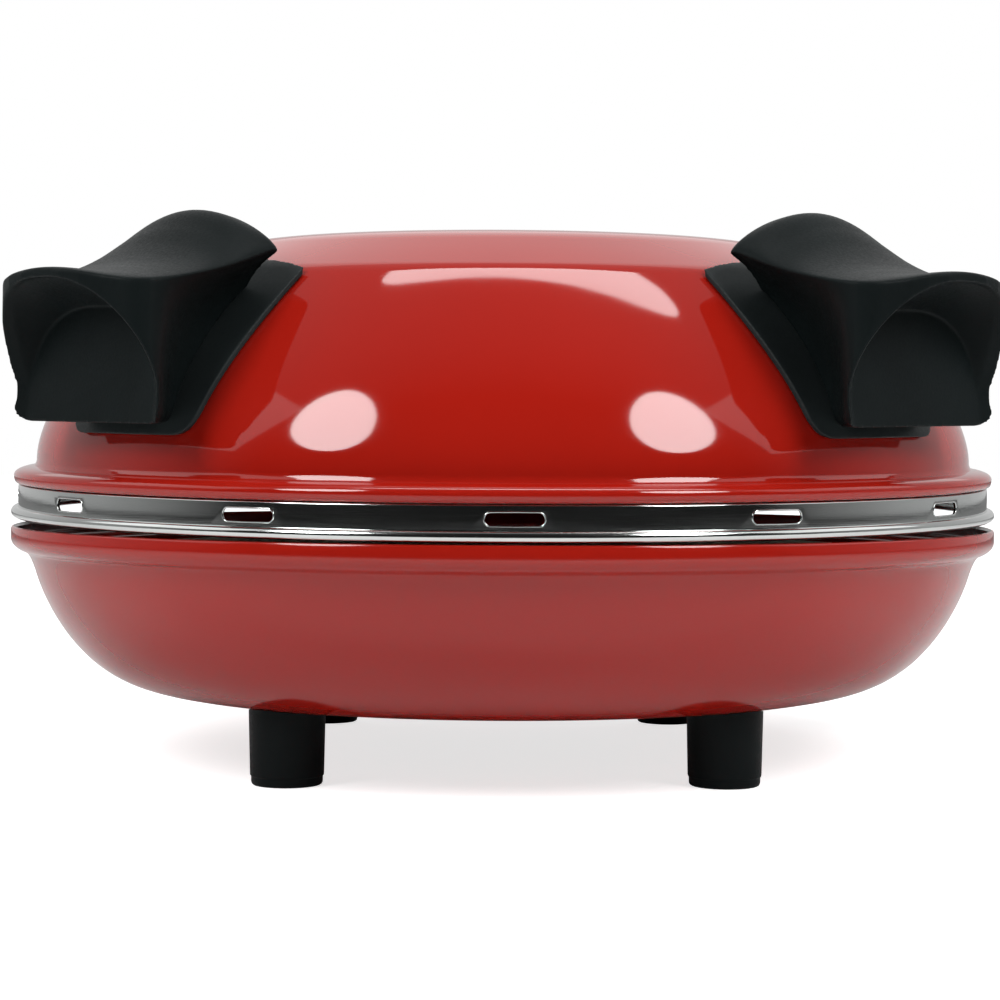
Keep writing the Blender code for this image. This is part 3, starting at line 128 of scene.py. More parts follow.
# Pale round and behind the oven and dark far in front, as bare steel mirrors it. The camera also sees it
# glow, up to full white away from the oven
PALE_BEHIND = 3.0
seen = node(tree, "LightPath").outputs["Is Camera Ray"]
where = node(tree, "TexCoord").outputs["Object"]
apart = node(tree, "VectorMath", operation="LENGTH")
tree.links.new(where, apart.inputs[0])
behind = node(tree, "VectorMath", operation="DISTANCE")
tree.links.new(where, behind.inputs[0])
behind.inputs[1].default_value = (0, PALE_BEHIND, 0)
far = node(tree, "MapRange", Value=behind.outputs["Value"],
           From_Min=PALE_BEHIND + 0.5, From_Max=PALE_BEHIND + 0.9)
pale = ramp(tree, far.outputs["Result"], (0.0, (0.80, 0.80, 0.80)), (1.0, (0.03, 0.03, 0.03)))
tree.links.new(pale, shader.inputs["Base Color"])
lift = node(tree, "MapRange", Value=apart.outputs["Value"],
            From_Min=0.25, From_Max=0.8, To_Min=0.72, To_Max=1.0)
glow = node(tree, "Math", operation="MULTIPLY")
tree.links.new(seen, glow.inputs[0])
tree.links.new(lift.outputs["Result"], glow.inputs[1])
shader.inputs["Emission Color"].default_value = (1, 1, 1, 1)
tree.links.new(glow.outputs[0], shader.inputs["Emission Strength"])
floor.data.materials.append(floor_finish)

world = bpy.data.worlds.new("surround")
bpy.context.scene.world = world
world.use_nodes = True
tree = world.node_tree
sky = tree.nodes["Background"]
path = node(tree, "LightPath")
# The room is dark behind the camera and pale behind the oven, as metal and gloss show in the photograph
towards = node(tree, "SeparateXYZ", Vector=node(tree, "TexCoord").outputs["Generated"])
around = ramp(
    tree,
    node(tree, "MapRange", Value=towards.outputs["Y"], From_Min=-1.0, From_Max=1.0).outputs["Result"],
    (0.0, (0.012, 0.012, 0.012)),
    (0.25, (0.015, 0.015, 0.015)),
    (0.40, (0.20, 0.20, 0.20)),
    (0.60, (0.40, 0.40, 0.40)),
    (1.0, (0.62, 0.62, 0.62)),
)
shown = node(tree, "Math", operation="ADD")
tree.links.new(path.outputs["Is Camera Ray"], shown.inputs[0])
tree.links.new(path.outputs["Is Transmission Ray"], shown.inputs[1])
mixed = node(tree, "Mix", data_type="RGBA")
tree.links.new(shown.outputs[0], mixed.inputs["Factor"])
tree.links.new(around, mixed.inputs[6])
mixed.inputs[7].default_value = (1, 1, 1, 1)
tree.links.new(mixed.outputs[2], sky.inputs["Color"])
lit = node(tree, "Math", operation="MAXIMUM")
tree.links.new(shown.outputs[0], lit.inputs[0])
tree.links.new(path.outputs["Is Glossy Ray"], lit.inputs[1])
level = node(tree, "MapRange", Value=lit.outputs[0], To_Min=0.8, To_Max=1.0)
tree.links.new(level.outputs["Result"], sky.inputs["Strength"])


def soft_lamp(name, shape, place, aim, wide, high, power, roll=0.0):
    """An area lamp that faces a point, turned about its own axis by a roll."""
    lamp = bpy.data.lights.new(name, "AREA")
    lamp.shape = shape
    lamp.size = wide
    lamp.size_y = high
    lamp.energy = power
    holder = bpy.data.objects.new(name, lamp)
    holder.location = place
    facing = (Vector(aim) - Vector(place)).to_track_quat("-Z", "Y").to_matrix()
    holder.rotation_euler = (facing @ Matrix.Rotation(roll, 3, "Z")).to_euler()
    bpy.context.scene.collection.objects.link(holder)


oven_middle = (0, AXIS_Y, CAMERA_HEIGHT)
FRONT_LAMP_ROLL = math.radians(13)
for side in (-1, 1):
    lamp_place = (side * 0.715, AXIS_Y - 0.76, 0.87)
    soft_lamp("front_lamp", "ELLIPSE", lamp_place, oven_middle, 0.40, 0.74, 9.4, -side * FRONT_LAMP_ROLL)
over_top = (0.12, AXIS_Y - 0.03, 1.45)
soft_lamp("top_lamp", "ELLIPSE", over_top, (0.12, AXIS_Y - 0.03, 0), 1.2, 0.25, 5.8)
soft_lamp("back_lamp", "RECTANGLE", (0, AXIS_Y + 1.25, 1.15), oven_middle, 2.0, 1.2, 3.4)
for side in (-1, 1):
    soft_lamp("side_lamp", "RECTANGLE", (side * 1.3, AXIS_Y - 0.1, 0.95), oven_middle, 1.2, 0.8, 3.0)


# Bowl: deep-drawn sheet steel, enamelled red all over. Its rim stands upright, rolls in softly to the neck,
# and the wall then runs round to a flat bottom on which the feet are screwed.
shell_low, shell_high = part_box("base_shell")
RIM_R = (shell_high.x - shell_low.x) / 2
RIM_Z = shell_high.z
BOWL_DEEP = RIM_Z - shell_low.z
SHEET = 1.2 * MM
LIP_DROP = 4.5 * MM
LIP_TURN = (RIM_R - 5.0 * MM, -9.4 * MM)
NECK = (RIM_R - 8.5 * MM, -14.5 * MM)
NECK_PULL = (RIM_R - 7.0 * MM, -10.2 * MM)
BOWL_FLOOR_R = RIM_R - 62.5 * MM
WALL_POWER_R = 2.45
WALL_POWER_Z = 1.3
WALL_STEPS = 32
FIRST_WALL_STEP = 4
base_place = Matrix.Translation((0, AXIS_Y, RIM_Z))


def bezier(start, pull, end, steps):
    """Points after start along a quadratic curve that leaves towards pull."""
    found = []
    for i in range(1, steps + 1):
        t = i / steps
        points = zip(start, pull, end)
        found.append(tuple(a * (1 - t) ** 2 + 2 * b * t * (1 - t) + c * t * t for a, b, c in points))
    return found


def eased(corners, steps=4):
    """A line through (radius, height, ease) corners, each rounded over its ease on both sides."""
    line = []
    for i, (r, z, ease) in enumerate(corners):
        here = Vector((r, z))
        if not ease or i in (0, len(corners) - 1):
            line.append((r, z))
            continue
        before = Vector(corners[i - 1][:2]) - here
        after = Vector(corners[i + 1][:2]) - here
        start = here + before.normalized() * min(ease, before.length / 2)
        end = here + after.normalized() * min(ease, after.length / 2)
        line.append(tuple(start))
        line += bezier(start, here, end, steps)
    return line


def edit(piece):
    """Enters edit mode on one piece alone, with all of it selected."""
    bpy.ops.object.select_all(action="DESELECT")
    bpy.context.view_layer.objects.active = piece
    piece.select_set(True)
    bpy.ops.object.mode_set(mode="EDIT")
    bpy.ops.mesh.select_all(action="SELECT")


def leave():
    """Leaves edit mode."""
    bpy.ops.object.mode_set(mode="OBJECT")


def spun(name, line, steps=192, sweep=math.tau, start=0.0):
    """A (radius, height) line, extruded from one vertex and spun about the upright axis."""
    bpy.ops.object.select_all(action="DESELECT")
    bpy.ops.mesh.primitive_plane_add(size=MM)
    piece = bpy.context.object
    piece.name = name
    edit(piece)
    bpy.ops.mesh.merge(type="CENTER")
    bpy.ops.transform.translate(value=(0, -line[0][0], line[0][1]))
    for (r, z), (next_r, next_z) in zip(line, line[1:]):
        bpy.ops.mesh.extrude_region_move(TRANSFORM_OT_translate={"value": (0, r - next_r, next_z - z)})
    bpy.ops.mesh.select_all(action="SELECT")
    if start:
        leave()
        piece.data.transform(Matrix.Rotation(start, 4, "Z"))
        edit(piece)
    bpy.ops.mesh.spin(steps=steps, angle=sweep, center=(0, 0, 0), axis=(0, 0, -1))
    bpy.ops.mesh.select_all(action="SELECT")
    bpy.ops.mesh.remove_doubles(threshold=MM * 0.002)
    bpy.ops.mesh.normals_make_consistent(inside=False)
    leave()
    return piece


def shaped(piece, kind, **settings):
    """Adds a modifier with these settings and applies it."""
    modifier = piece.modifiers.new(kind.lower(), kind)
    for label, value in settings.items():
        setattr(modifier, label, value)
    bpy.context.view_layer.objects.active = piece
    bpy.ops.object.modifier_apply(modifier=modifier.name)
    return piece


def smooth(piece, angle=32):
    """Shades a piece smooth, but for edges sharper than the angle."""
    bpy.ops.object.select_all(action="DESELECT")
    bpy.context.view_layer.objects.active = piece
    piece.select_set(True)
    bpy.ops.object.shade_smooth_by_angle(angle=math.radians(angle))
    return piece


def fitted(piece, place, body, slot, finish, *stands_for):
    """Puts a piece in place, with its finish and body, and hides the CAD nodes that it stands for."""
    piece.data.transform(place)
    piece.data.update()
    piece.data.materials.clear()
    piece.data.materials.append(finish)
    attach(piece, body)
    if stands_for:
        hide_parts(*stands_for)


def coloured(tree, shader, factor, *stops):
    """Colours a shader with a ramp over a value."""
    tree.links.new(ramp(tree, factor, *stops), shader.inputs["Base Color"])


def roughened(tree, shader, factor, low, high, factor_low=0.3, factor_high=0.7):
    """Lets a shader's roughness run from low to high with a value."""
    rough = node(tree, "MapRange", Value=factor, From_Min=factor_low, From_Max=factor_high,
                 To_Min=low, To_Max=high)
    tree.links.new(rough.outputs["Result"], shader.inputs["Roughness"])


def bumped(tree, shader, height, strength, distance):
    """Gives a shader fine relief from a height."""
    bump = node(tree, "Bump", Strength=strength, Distance=distance, Height=height)
    tree.links.new(bump.outputs["Normal"], shader.inputs["Normal"])


def enamel(name, colour, roughness):
    """Glass enamel: one deep colour with a faint waviness and a clear gloss."""
    material, tree, shader = new_material(name)
    where = node(tree, "TexCoord").outputs["Object"]
    cloud = node(tree, "TexNoise", Vector=where, Scale=9.0, Detail=3.0)
    darker = tuple(c * 0.90 for c in colour)
    coloured(tree, shader, cloud.outputs["Fac"], (0.3, darker), (0.7, colour))
    dust = node(tree, "TexNoise", Vector=where, Scale=40.0, Detail=2.0)
    roughened(tree, shader, dust.outputs["Fac"], roughness * 0.9, roughness * 1.15)
    ripple = node(tree, "TexNoise", Vector=where, Scale=75.0, Detail=1.0)
    bumped(tree, shader, ripple.outputs["Fac"], 0.03, 0.4 * MM)
    shader.inputs["IOR"].default_value = 1.5
    return material


ENAMEL_RED = (0.33, 0.010, 0.005)
bowl_enamel = enamel("bowl_enamel", ENAMEL_RED, 0.12)


def bowl_line():
    """Outside of the bowl from its rim down to the axis."""
    line = [(RIM_R - 1.0 * MM, 0.0), (RIM_R - 0.3 * MM, -0.25 * MM), (RIM_R, -0.9 * MM), (RIM_R, -LIP_DROP)]
    line += bezier(line[-1], (RIM_R - 0.1 * MM, -LIP_DROP - 3.1 * MM), LIP_TURN, 9)
    wall = []
    for i in range(FIRST_WALL_STEP, WALL_STEPS + 1):
        angle = math.pi / 2 * i / WALL_STEPS
        r = BOWL_FLOOR_R + (NECK[0] - BOWL_FLOOR_R) * max(math.cos(angle), 0) ** (2 / WALL_POWER_R)
        z = NECK[1] - (BOWL_DEEP + NECK[1]) * math.sin(angle) ** (2 / WALL_POWER_Z)
        wall.append((r, z))
    line += bezier(LIP_TURN, NECK_PULL, wall[0], 9) + wall[1:]
    return line + [(BOWL_FLOOR_R / 2, -BOWL_DEEP), (0.0, -BOWL_DEEP)]


bowl = spun("bowl", bowl_line())
shaped(bowl, "SOLIDIFY", thickness=SHEET, offset=-1)
smooth(bowl, 40)
fitted(bowl, base_place, "base", "red_enamel", bowl_enamel, "base_shell")


# Feet: black moulded posts with a rounded foot, in one piece of plastic each. Their tops are cut to the bowl
# above them, and a long screw from inside the oven holds each one.
FOOT_R = 13.2 * MM


def moulded(name, grain_scale=900.0, roughness=0.5, gloss=0.16, depth=0.12,
            colour=(0.0040, 0.0060, 0.0062)):
    """Black moulded plastic: a fine spark-eroded grain with a slight variation in sheen."""
    material, tree, shader = new_material(name)
    where = node(tree, "TexCoord").outputs["Object"]
    grain = node(tree, "TexNoise", Vector=where, Scale=grain_scale, Detail=3.0, Roughness=0.6)
    cloud = node(tree, "TexNoise", Vector=where, Scale=22.0, Detail=3.0)
    lighter = tuple(c * 1.5 for c in colour)
    coloured(tree, shader, cloud.outputs["Fac"], (0.35, colour), (0.7, lighter))
    roughened(tree, shader, grain.outputs["Fac"], roughness - 0.05, roughness + 0.1)
    bumped(tree, shader, grain.outputs["Fac"], 0.35, depth * MM)
    shader.inputs["Specular IOR Level"].default_value = gloss
    return material


foot_plastic = moulded("foot_plastic", roughness=0.45, gloss=0.09)
bowl_solid = spun("bowl_solid", [(0.0, 20 * MM), (RIM_R, 20 * MM)] + bowl_line()[2:], steps=96)
bowl_solid.data.transform(base_place @ Matrix.Translation((0, 0, -0.2 * MM)))


def carved(piece, tool, operation="DIFFERENCE"):
    """Cuts one solid with another."""
    return shaped(piece, "BOOLEAN", object=tool, operation=operation, solver="EXACT")


for corner in ("front_left", "front_right", "rear_left", "rear_right"):
    low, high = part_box("foot_" + corner)
    foot = spun("foot_post_" + corner, eased([
        (0.0, high.z + 4 * MM, 0),
        (FOOT_R, high.z + 4 * MM, 0),
        (FOOT_R - 0.6 * MM, 3.4 * MM, 0.4 * MM),
        (FOOT_R - 1.0 * MM, 3.0 * MM, 0.3 * MM),
        (FOOT_R - 1.0 * MM, 0.0, 1.4 * MM),
        (0.0, 0.0, 0),
    ]), steps=64)
    foot.data.transform(Matrix.Translation(((low.x + high.x) / 2, (low.y + high.y) / 2, 0)))
    carved(foot, bowl_solid)
    smooth(foot)
    fitted(foot, Matrix(), "base", "black_plastic", foot_plastic, "foot_" + corner)


# Screws, bushes and rivets: zinc plated steel, turned or headed cold. Each is a copy of its solid with its
# edges broken by a small radius, and so are most of the other small parts further down.
BREAK_ANGLE = 35


def softened(part, width, segments=2):
    """A copy of a CAD node with merged points and rounded edges."""
    piece = bpy.data.objects.new(part + "_finished", frame["nodes"][part].data.copy())
    bpy.context.scene.collection.objects.link(piece)
    edit(piece)
    bpy.ops.mesh.remove_doubles(threshold=MM * 0.01)
    bpy.ops.mesh.dissolve_limited(angle_limit=math.radians(1))
    leave()
    if width:
        shaped(piece, "BEVEL", width=width, segments=segments, limit_method="ANGLE",
               angle_limit=math.radians(BREAK_ANGLE))
    return smooth(piece, BREAK_ANGLE)


def metal(name, colour, roughness, scale, spread=0.12):
    """Bare or plated metal, slightly uneven in colour and sheen."""
    material, tree, shader = new_material(name)
    where = node(tree, "TexCoord").outputs["Object"]
    cloud = node(tree, "TexNoise", Vector=where, Scale=scale, Detail=6.0, Roughness=0.65)
    dull = tuple(c * 0.82 for c in colour)
    coloured(tree, shader, cloud.outputs["Fac"], (0.3, dull), (0.7, colour))
    roughened(tree, shader, cloud.outputs["Fac"], roughness, roughness + spread)
    bumped(tree, shader, cloud.outputs["Fac"], 0.25, 0.05 * MM)
    shader.inputs["Metallic"].default_value = 1.0
    return material


parts = sorted(frame["nodes"])
body_of = {}
for body, empty in frame["bodies"].items():
    for child in empty.children:
        body_of[child.get("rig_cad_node")] = body


def dressed(part, width, slot, finish, segments=2):
    """Puts a softened copy of a CAD node in the node's place."""
    fitted(softened(part, width, segments), Matrix(), body_of[part], slot, finish, part)


zinc = metal("zinc_plate", (0.55, 0.57, 0.58), 0.28, 140.0)
for part in parts:
    if part.startswith(("foot_screw", "reflector_spacer", "handle_screw", "housing_screw", "band_rivet")):
        dressed(part, 0.25 * MM, "zinc_steel", zinc)


# Heat pan: bright aluminised sheet, spun on a lathe, so that fine rings run round it. Its wide rim carries
# the stone, and the feet's long screws clamp it to the bowl over their bushes.
def lathe_metal(name, colour, roughness, centre):
    """Sheet with fine rings round an upright axis through a centre, and a little heat tint."""
    material, tree, shader = new_material(name)
    where = node(tree, "TexCoord").outputs["Object"]
    spot = node(tree, "Mapping", Vector=where, Location=[-c for c in centre])
    apart = node(tree, "SeparateXYZ", Vector=spot.outputs["Vector"])
    flat = node(tree, "CombineXYZ", X=apart.outputs["X"], Y=apart.outputs["Y"])
    reach = node(tree, "VectorMath", operation="LENGTH")
    tree.links.new(flat.outputs["Vector"], reach.inputs[0])
    tall = node(tree, "CombineXYZ", X=reach.outputs["Value"], Y=apart.outputs["Z"])
    ring = node(tree, "TexNoise", Vector=tall.outputs["Vector"], Scale=1400.0, Detail=4.0)
    tint = node(tree, "TexNoise", Vector=spot.outputs["Vector"], Scale=11.0, Detail=4.0)
    warm = (colour[0], colour[1] * 0.93, colour[2] * 0.82)
    coloured(tree, shader, tint.outputs["Fac"], (0.42, colour), (0.75, warm))
    roughened(tree, shader, ring.outputs["Fac"], roughness, roughness + 0.15)
    bumped(tree, shader, ring.outputs["Fac"], 0.2, 0.05 * MM)
    shader.inputs["Metallic"].default_value = 1.0
    return material


base_centre = (0, AXIS_Y, RIM_Z)
pan_low, pan_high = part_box("base_reflector")
PAN_R = (pan_high.x - pan_low.x) / 2
PAN_TOP = pan_high.z - RIM_Z
PAN_FLOOR = pan_low.z - RIM_Z
PAN_FLOOR_R = PAN_R - 22.0 * MM
PAN_SHEET = 0.8 * MM
pan = spun("heat_pan", eased([
    (0.0, PAN_FLOOR + PAN_SHEET, 0),
    (PAN_FLOOR_R, PAN_FLOOR + PAN_SHEET, 3 * MM),
    (PAN_R - 9.0 * MM, PAN_TOP, 2 * MM),
    (PAN_R, PAN_TOP, 0),
]))
shaped(pan, "SOLIDIFY", thickness=PAN_SHEET, offset=-1 if pan.data.polygons[0].normal.z > 0 else 1)
pan_metal = lathe_metal("pan_metal", (0.66, 0.66, 0.64), 0.25, base_centre)
fitted(smooth(pan), base_place, "base", "bright_steel", pan_metal, "base_reflector")


# Baking stone: a pressed and fired cordierite disc, rough and slightly speckled, with broken edges. It lies
# loose on the pan's rim and lifts out by hand.
STONE_R = (stone_high.x - stone_low.x) / 2
stone_deep = stone_high.z - stone_low.z
stone = spun("stone", eased([
    (0.0, 0.0, 0),
    (STONE_R, 0.0, 2.0 * MM),
    (STONE_R, -stone_deep, 2.0 * MM),
    (0.0, -stone_deep, 0),
]), steps=128)
stone_finish, tree, shader = new_material("fired_stone")
where = node(tree, "TexCoord").outputs["Object"]
speck = node(tree, "TexVoronoi", Vector=where, Scale=420.0)
cloud = node(tree, "TexNoise", Vector=where, Scale=18.0, Detail=6.0)
fleck = ramp(
    tree, speck.outputs["Color"],
    (0.0, (0.40, 0.33, 0.25)), (0.25, (0.60, 0.52, 0.41)), (1.0, (0.70, 0.62, 0.50)),
)
cast = ramp(tree, cloud.outputs["Fac"], (0.3, (0.86, 0.84, 0.80)), (0.7, (1.0, 1.0, 1.0)))
both = node(tree, "Mix", data_type="RGBA", blend_type="MULTIPLY")
both.inputs["Factor"].default_value = 1.0
tree.links.new(fleck, both.inputs[6])
tree.links.new(cast, both.inputs[7])
tree.links.new(both.outputs[2], shader.inputs["Base Color"])
grit = node(tree, "TexNoise", Vector=where, Scale=520.0, Detail=4.0)
bumped(tree, shader, grit.outputs["Fac"], 0.5, 0.3 * MM)
roughened(tree, shader, grit.outputs["Fac"], 0.82, 0.98, 0.0, 1.0)
stone_place = Matrix.Translation((0, AXIS_Y, stone_high.z))
fitted(smooth(stone), stone_place, "base", "cordierite", stone_finish, "baking_stone")


# Heaters: steel-sheathed rods bent cold into loops, darkened by their first firing. The ceramic bushes
# keep their ends off the sheet, and pressed clips hold the loops.
TUBE_R = 3.2 * MM
END_SPACING = 12.0 * MM
HEATER_BEND = 10.0 * MM


def bent_rod(name, start, moves):
    """A round rod that leaves a place towards +Y. A move is a run's length, or a bend's radius and turn."""
    bpy.ops.object.select_all(action="DESELECT")
    bpy.ops.mesh.primitive_circle_add(
        vertices=20, radius=TUBE_R, fill_type="NGON", rotation=(math.pi / 2, 0, 0))
    bpy.ops.object.transform_apply(rotation=True)
    rod = bpy.context.object
    rod.name = name
    edit(rod)
    here, heading = Vector(start), math.pi / 2
    bpy.ops.transform.translate(value=here)
    for length, turn in moves:
        ahead = Vector((math.cos(heading), math.sin(heading), 0))
        if turn:
            side = math.copysign(1, turn)
            middle = here + Vector((-ahead.y, ahead.x, 0)) * length * side
            steps = max(6, round(abs(turn) * length / (4 * MM)))
            bpy.ops.mesh.spin(steps=steps, angle=abs(turn), center=middle, axis=(0, 0, -side))
            here = middle + Matrix.Rotation(turn, 3, "Z") @ (here - middle)
            heading += turn
        else:
            bpy.ops.mesh.extrude_region_move(TRANSFORM_OT_translate={"value": ahead * length})
            here += ahead * length
    bpy.ops.mesh.select_all(action="SELECT")
    bpy.ops.mesh.remove_doubles(threshold=MM * 0.01)
    bpy.ops.mesh.normals_make_consistent(inside=False)
    leave()
    return smooth(rod, 50)


def loop_in(radius):
    """The right turn with which a run from outside joins a loop, and how far out that turn begins."""
    lean = math.asin((END_SPACING + HEATER_BEND) / (radius + HEATER_BEND))
    return math.pi / 2 - lean, (radius + HEATER_BEND) * math.cos(lean)


sheath = metal("heater_sheath", (0.20, 0.17, 0.15), 0.42, 300.0, spread=0.2)
CONTROL_TURN = math.radians(120)
rod_low, rod_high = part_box("lower_element")
LOWER_R = PAN_FLOOR_R - 30.0 * MM
LOWER_REACH = RIM_R - 13.5 * MM
turn_in, bend_at = loop_in(LOWER_R)
lower = bent_rod("lower_heater", (END_SPACING, -LOWER_REACH, 0), [
    (LOWER_REACH - bend_at, 0),
    (HEATER_BEND, -turn_in),
    (LOWER_R, math.pi + 2 * turn_in),
    (HEATER_BEND, -turn_in),
    (LOWER_REACH - bend_at, 0),
])
lower_place = Matrix.Translation((0, AXIS_Y, (rod_low.z + rod_high.z) / 2))
lower_place = lower_place @ Matrix.Rotation(CONTROL_TURN, 4, "Z")
fitted(lower, lower_place, "base", "heater_sheath", sheath, "lower_element")
clip_steel = metal("clip_steel", (0.60, 0.59, 0.56), 0.3, 200.0)
for part in parts:
    if "_clip_" in part:
        dressed(part, 0.3 * MM, "bright_steel", clip_steel)
ceramic, tree, shader = new_material("steatite")
where = node(tree, "TexCoord").outputs["Object"]
grit = node(tree, "TexNoise", Vector=where, Scale=240.0, Detail=3.0)
coloured(tree, shader, grit.outputs["Fac"], (0.3, (0.74, 0.71, 0.64)), (0.7, (0.83, 0.81, 0.75)))
bumped(tree, shader, grit.outputs["Fac"], 0.2, 0.1 * MM)
shader.inputs["Roughness"].default_value = 0.55
for part in ("base_terminal_bush", "lid_terminal_bush"):
    dressed(part, 0.4 * MM, "white_ceramic", ceramic)


# Control housing: a black moulded box that hugs the bowl, held by two screws from inside the oven. It carries
# the thermostat with its knob, two lamps and the gland. A bright sheet on the bowl's wall keeps the heat off.
housing_plastic = moulded("housing_plastic", roughness=0.42)
dressed("control_housing", 0.7 * MM, "black_plastic", housing_plastic, 3)
dressed("heat_shield", 0, "bright_steel", metal("shield_metal", (0.66, 0.66, 0.64), 0.3, 200.0))
dressed("thermostat_body", 0.3 * MM, "bright_steel", clip_steel)
dressed("thermostat_shaft", 0.2 * MM, "zinc_steel", zinc)
dressed("thermostat_knob", 0.6 * MM, "black_plastic", moulded("knob_plastic", roughness=0.38), 3)
dressed("cable_gland", 0.4 * MM, "black_plastic", moulded("gland_plastic"))


def lamp_lens(name, colour):
    """A clear tinted lens with a fine inner pattern."""
    material, tree, shader = new_material(name)
    where = node(tree, "TexCoord").outputs["Object"]
    facet = node(tree, "TexVoronoi", Vector=where, Scale=900.0)
    dark = tuple(c * 0.6 for c in colour)
    coloured(tree, shader, facet.outputs["Distance"], (0.1, colour), (0.8, dark))
    bumped(tree, shader, facet.outputs["Distance"], 0.15, 0.2 * MM)
    shader.inputs["Roughness"].default_value = 0.12
    shader.inputs["Transmission Weight"].default_value = 0.35
    shader.inputs["Coat Weight"].default_value = 1.0
    return material


for part, slot, colour in (
    ("power_lamp", "red_lamp", (0.6, 0.02, 0.012)),
    ("heat_lamp", "amber_lamp", (0.75, 0.30, 0.02)),
):
    dressed(part, 0.3 * MM, slot, lamp_lens(part + "_lens", colour))


# Dome: drawn sheet steel, enamelled red. A shallow top and cone meet the curved wall at a soft crease, and
# the wall runs into a valley and a rolled flange. It tips down a little towards the front on its hinge.
HINGE_REACH = 12.0 * MM
HINGE_UP = 13.5 * MM
FRONT_GAP = 0.4 * MM
REAR_GAP = 7.6 * MM
HINGE_Y = RIM_R + HINGE_REACH
LID_TILT = math.asin((REAR_GAP - FRONT_GAP) / (RIM_R + RIM_R))
PIVOT_Z = (HINGE_UP - FRONT_GAP - math.sin(LID_TILT) * (RIM_R + HINGE_Y)) / math.cos(LID_TILT)
lid_place = Matrix.Translation((0, AXIS_Y + HINGE_Y, RIM_Z + HINGE_UP)) @ Matrix.Rotation(LID_TILT, 4, "X")
lid_place = lid_place @ Matrix.Translation((0, -HINGE_Y, -PIVOT_Z))
BAND_R = RIM_R - 2.7 * MM
FLANGE_R = BAND_R + 1.6 * MM
FLANGE_LOW = 12.3 * MM
FLANGE_HIGH = 17.8 * MM
VALLEY = (FLANGE_R - 7.4 * MM, 18.6 * MM)
WALL_FOOT = (VALLEY[0] - 1.6 * MM, 22.5 * MM)
WALL_PULL = (WALL_FOOT[0] + 1.2 * MM, 43.0 * MM)
WALL_END = (VALLEY[0] - 0.8 * MM, 20.0 * MM)
CREASE = (WALL_FOOT[0] - 42.4 * MM, 87.8 * MM)
SHOULDER = (CREASE[0] - 29.0 * MM, 99.8 * MM)
TOP_EDGE = (SHOULDER[0] - 11.0 * MM, 101.5 * MM)
LID_TOP = 105.0 * MM


def dome_line():
    """Outside of the dome from its top down to the valley above the flange."""
    wall = bezier(CREASE, WALL_PULL, WALL_END, 24)
    corners = [(0.0, LID_TOP, 0), (TOP_EDGE[0] / 2, (LID_TOP * 0.8 + TOP_EDGE[1] * 0.2), 20 * MM)]
    corners += [(*TOP_EDGE, 6 * MM), (*SHOULDER, 5 * MM), (*CREASE, 3.0 * MM)]
    corners += [(r, z, 0) for r, z in wall[1:-1]] + [(*wall[-1], 1.5 * MM), (*VALLEY, 0)]
    return eased(corners, 5)


dome_edge = bezier(VALLEY, (FLANGE_R, FLANGE_HIGH), (FLANGE_R, (FLANGE_LOW + FLANGE_HIGH) / 2), 8)
dome_edge += bezier(dome_edge[-1], (FLANGE_R, FLANGE_LOW), (FLANGE_R - 1.6 * MM, FLANGE_LOW), 4)
dome_edge += [(FLANGE_R - 2.6 * MM, FLANGE_LOW)]
dome = spun("dome", dome_line() + dome_edge)
shaped(dome, "SOLIDIFY", thickness=SHEET, offset=-1)
dome_enamel = enamel("dome_enamel", ENAMEL_RED, 0.06)
fitted(smooth(dome, 40), lid_place, "lid", "red_enamel", dome_enamel, "lid_shell")


# Vent band: bright stainless strip rolled into a ring. Its shelf carries the dome, its lower edge is rolled
# into a round bead that lands on the bowl's rim, and slots with pressed edges are spaced round it.
BAND_TOP = 12.0 * MM
BAND_SHEET = 0.9 * MM
SHELF_R = VALLEY[0] - 8.0 * MM
BEAD_R = 2.0 * MM
SLOTS = 13
SLOT_TURN = math.radians(1.2)
SLOT_LONG = 19.0 * MM
SLOT_HIGH = 4.6 * MM
SLOT_Z = 7.4 * MM
BAND_STEPS = SLOTS * 16
BEAD_STEPS = 24
BAND_ROUND = 0.8 * MM
SLOT_RIM_R = 0.28 * MM

bead_middle = RIM_R - BEAD_R
bead_from = math.acos((BAND_R - bead_middle) / BEAD_R)
bead_to = math.acos((BAND_R - BAND_SHEET - bead_middle) / BEAD_R) - math.tau
band_line = [(SHELF_R, BAND_TOP), (BAND_R - BAND_ROUND, BAND_TOP)]
band_line += bezier(band_line[-1], (BAND_R, BAND_TOP), (BAND_R, BAND_TOP - BAND_ROUND), 4)
for i in range(BEAD_STEPS + 1):
    bead_angle = bead_from + (bead_to - bead_from) * i / BEAD_STEPS
    band_line.append((bead_middle + BEAD_R * math.cos(bead_angle), BEAD_R + BEAD_R * math.sin(bead_angle)))
band_line += [(BAND_R - BAND_SHEET, BAND_TOP - BAND_SHEET), (SHELF_R, BAND_TOP - BAND_SHEET)]
band_line += [(SHELF_R, BAND_TOP)]
band = spun("slotted_band", band_line, steps=BAND_STEPS)


def drawn_apart(piece):
    """Draws the halves of a round shape apart to a slot's length, at the slot's height."""
    half = (SLOT_LONG - SLOT_HIGH) / 2
    for vert in piece.data.vertices:
        if abs(vert.co.x) > 0.001 * MM:
            vert.co.x += math.copysign(half, vert.co.x)
        vert.co.z += SLOT_Z


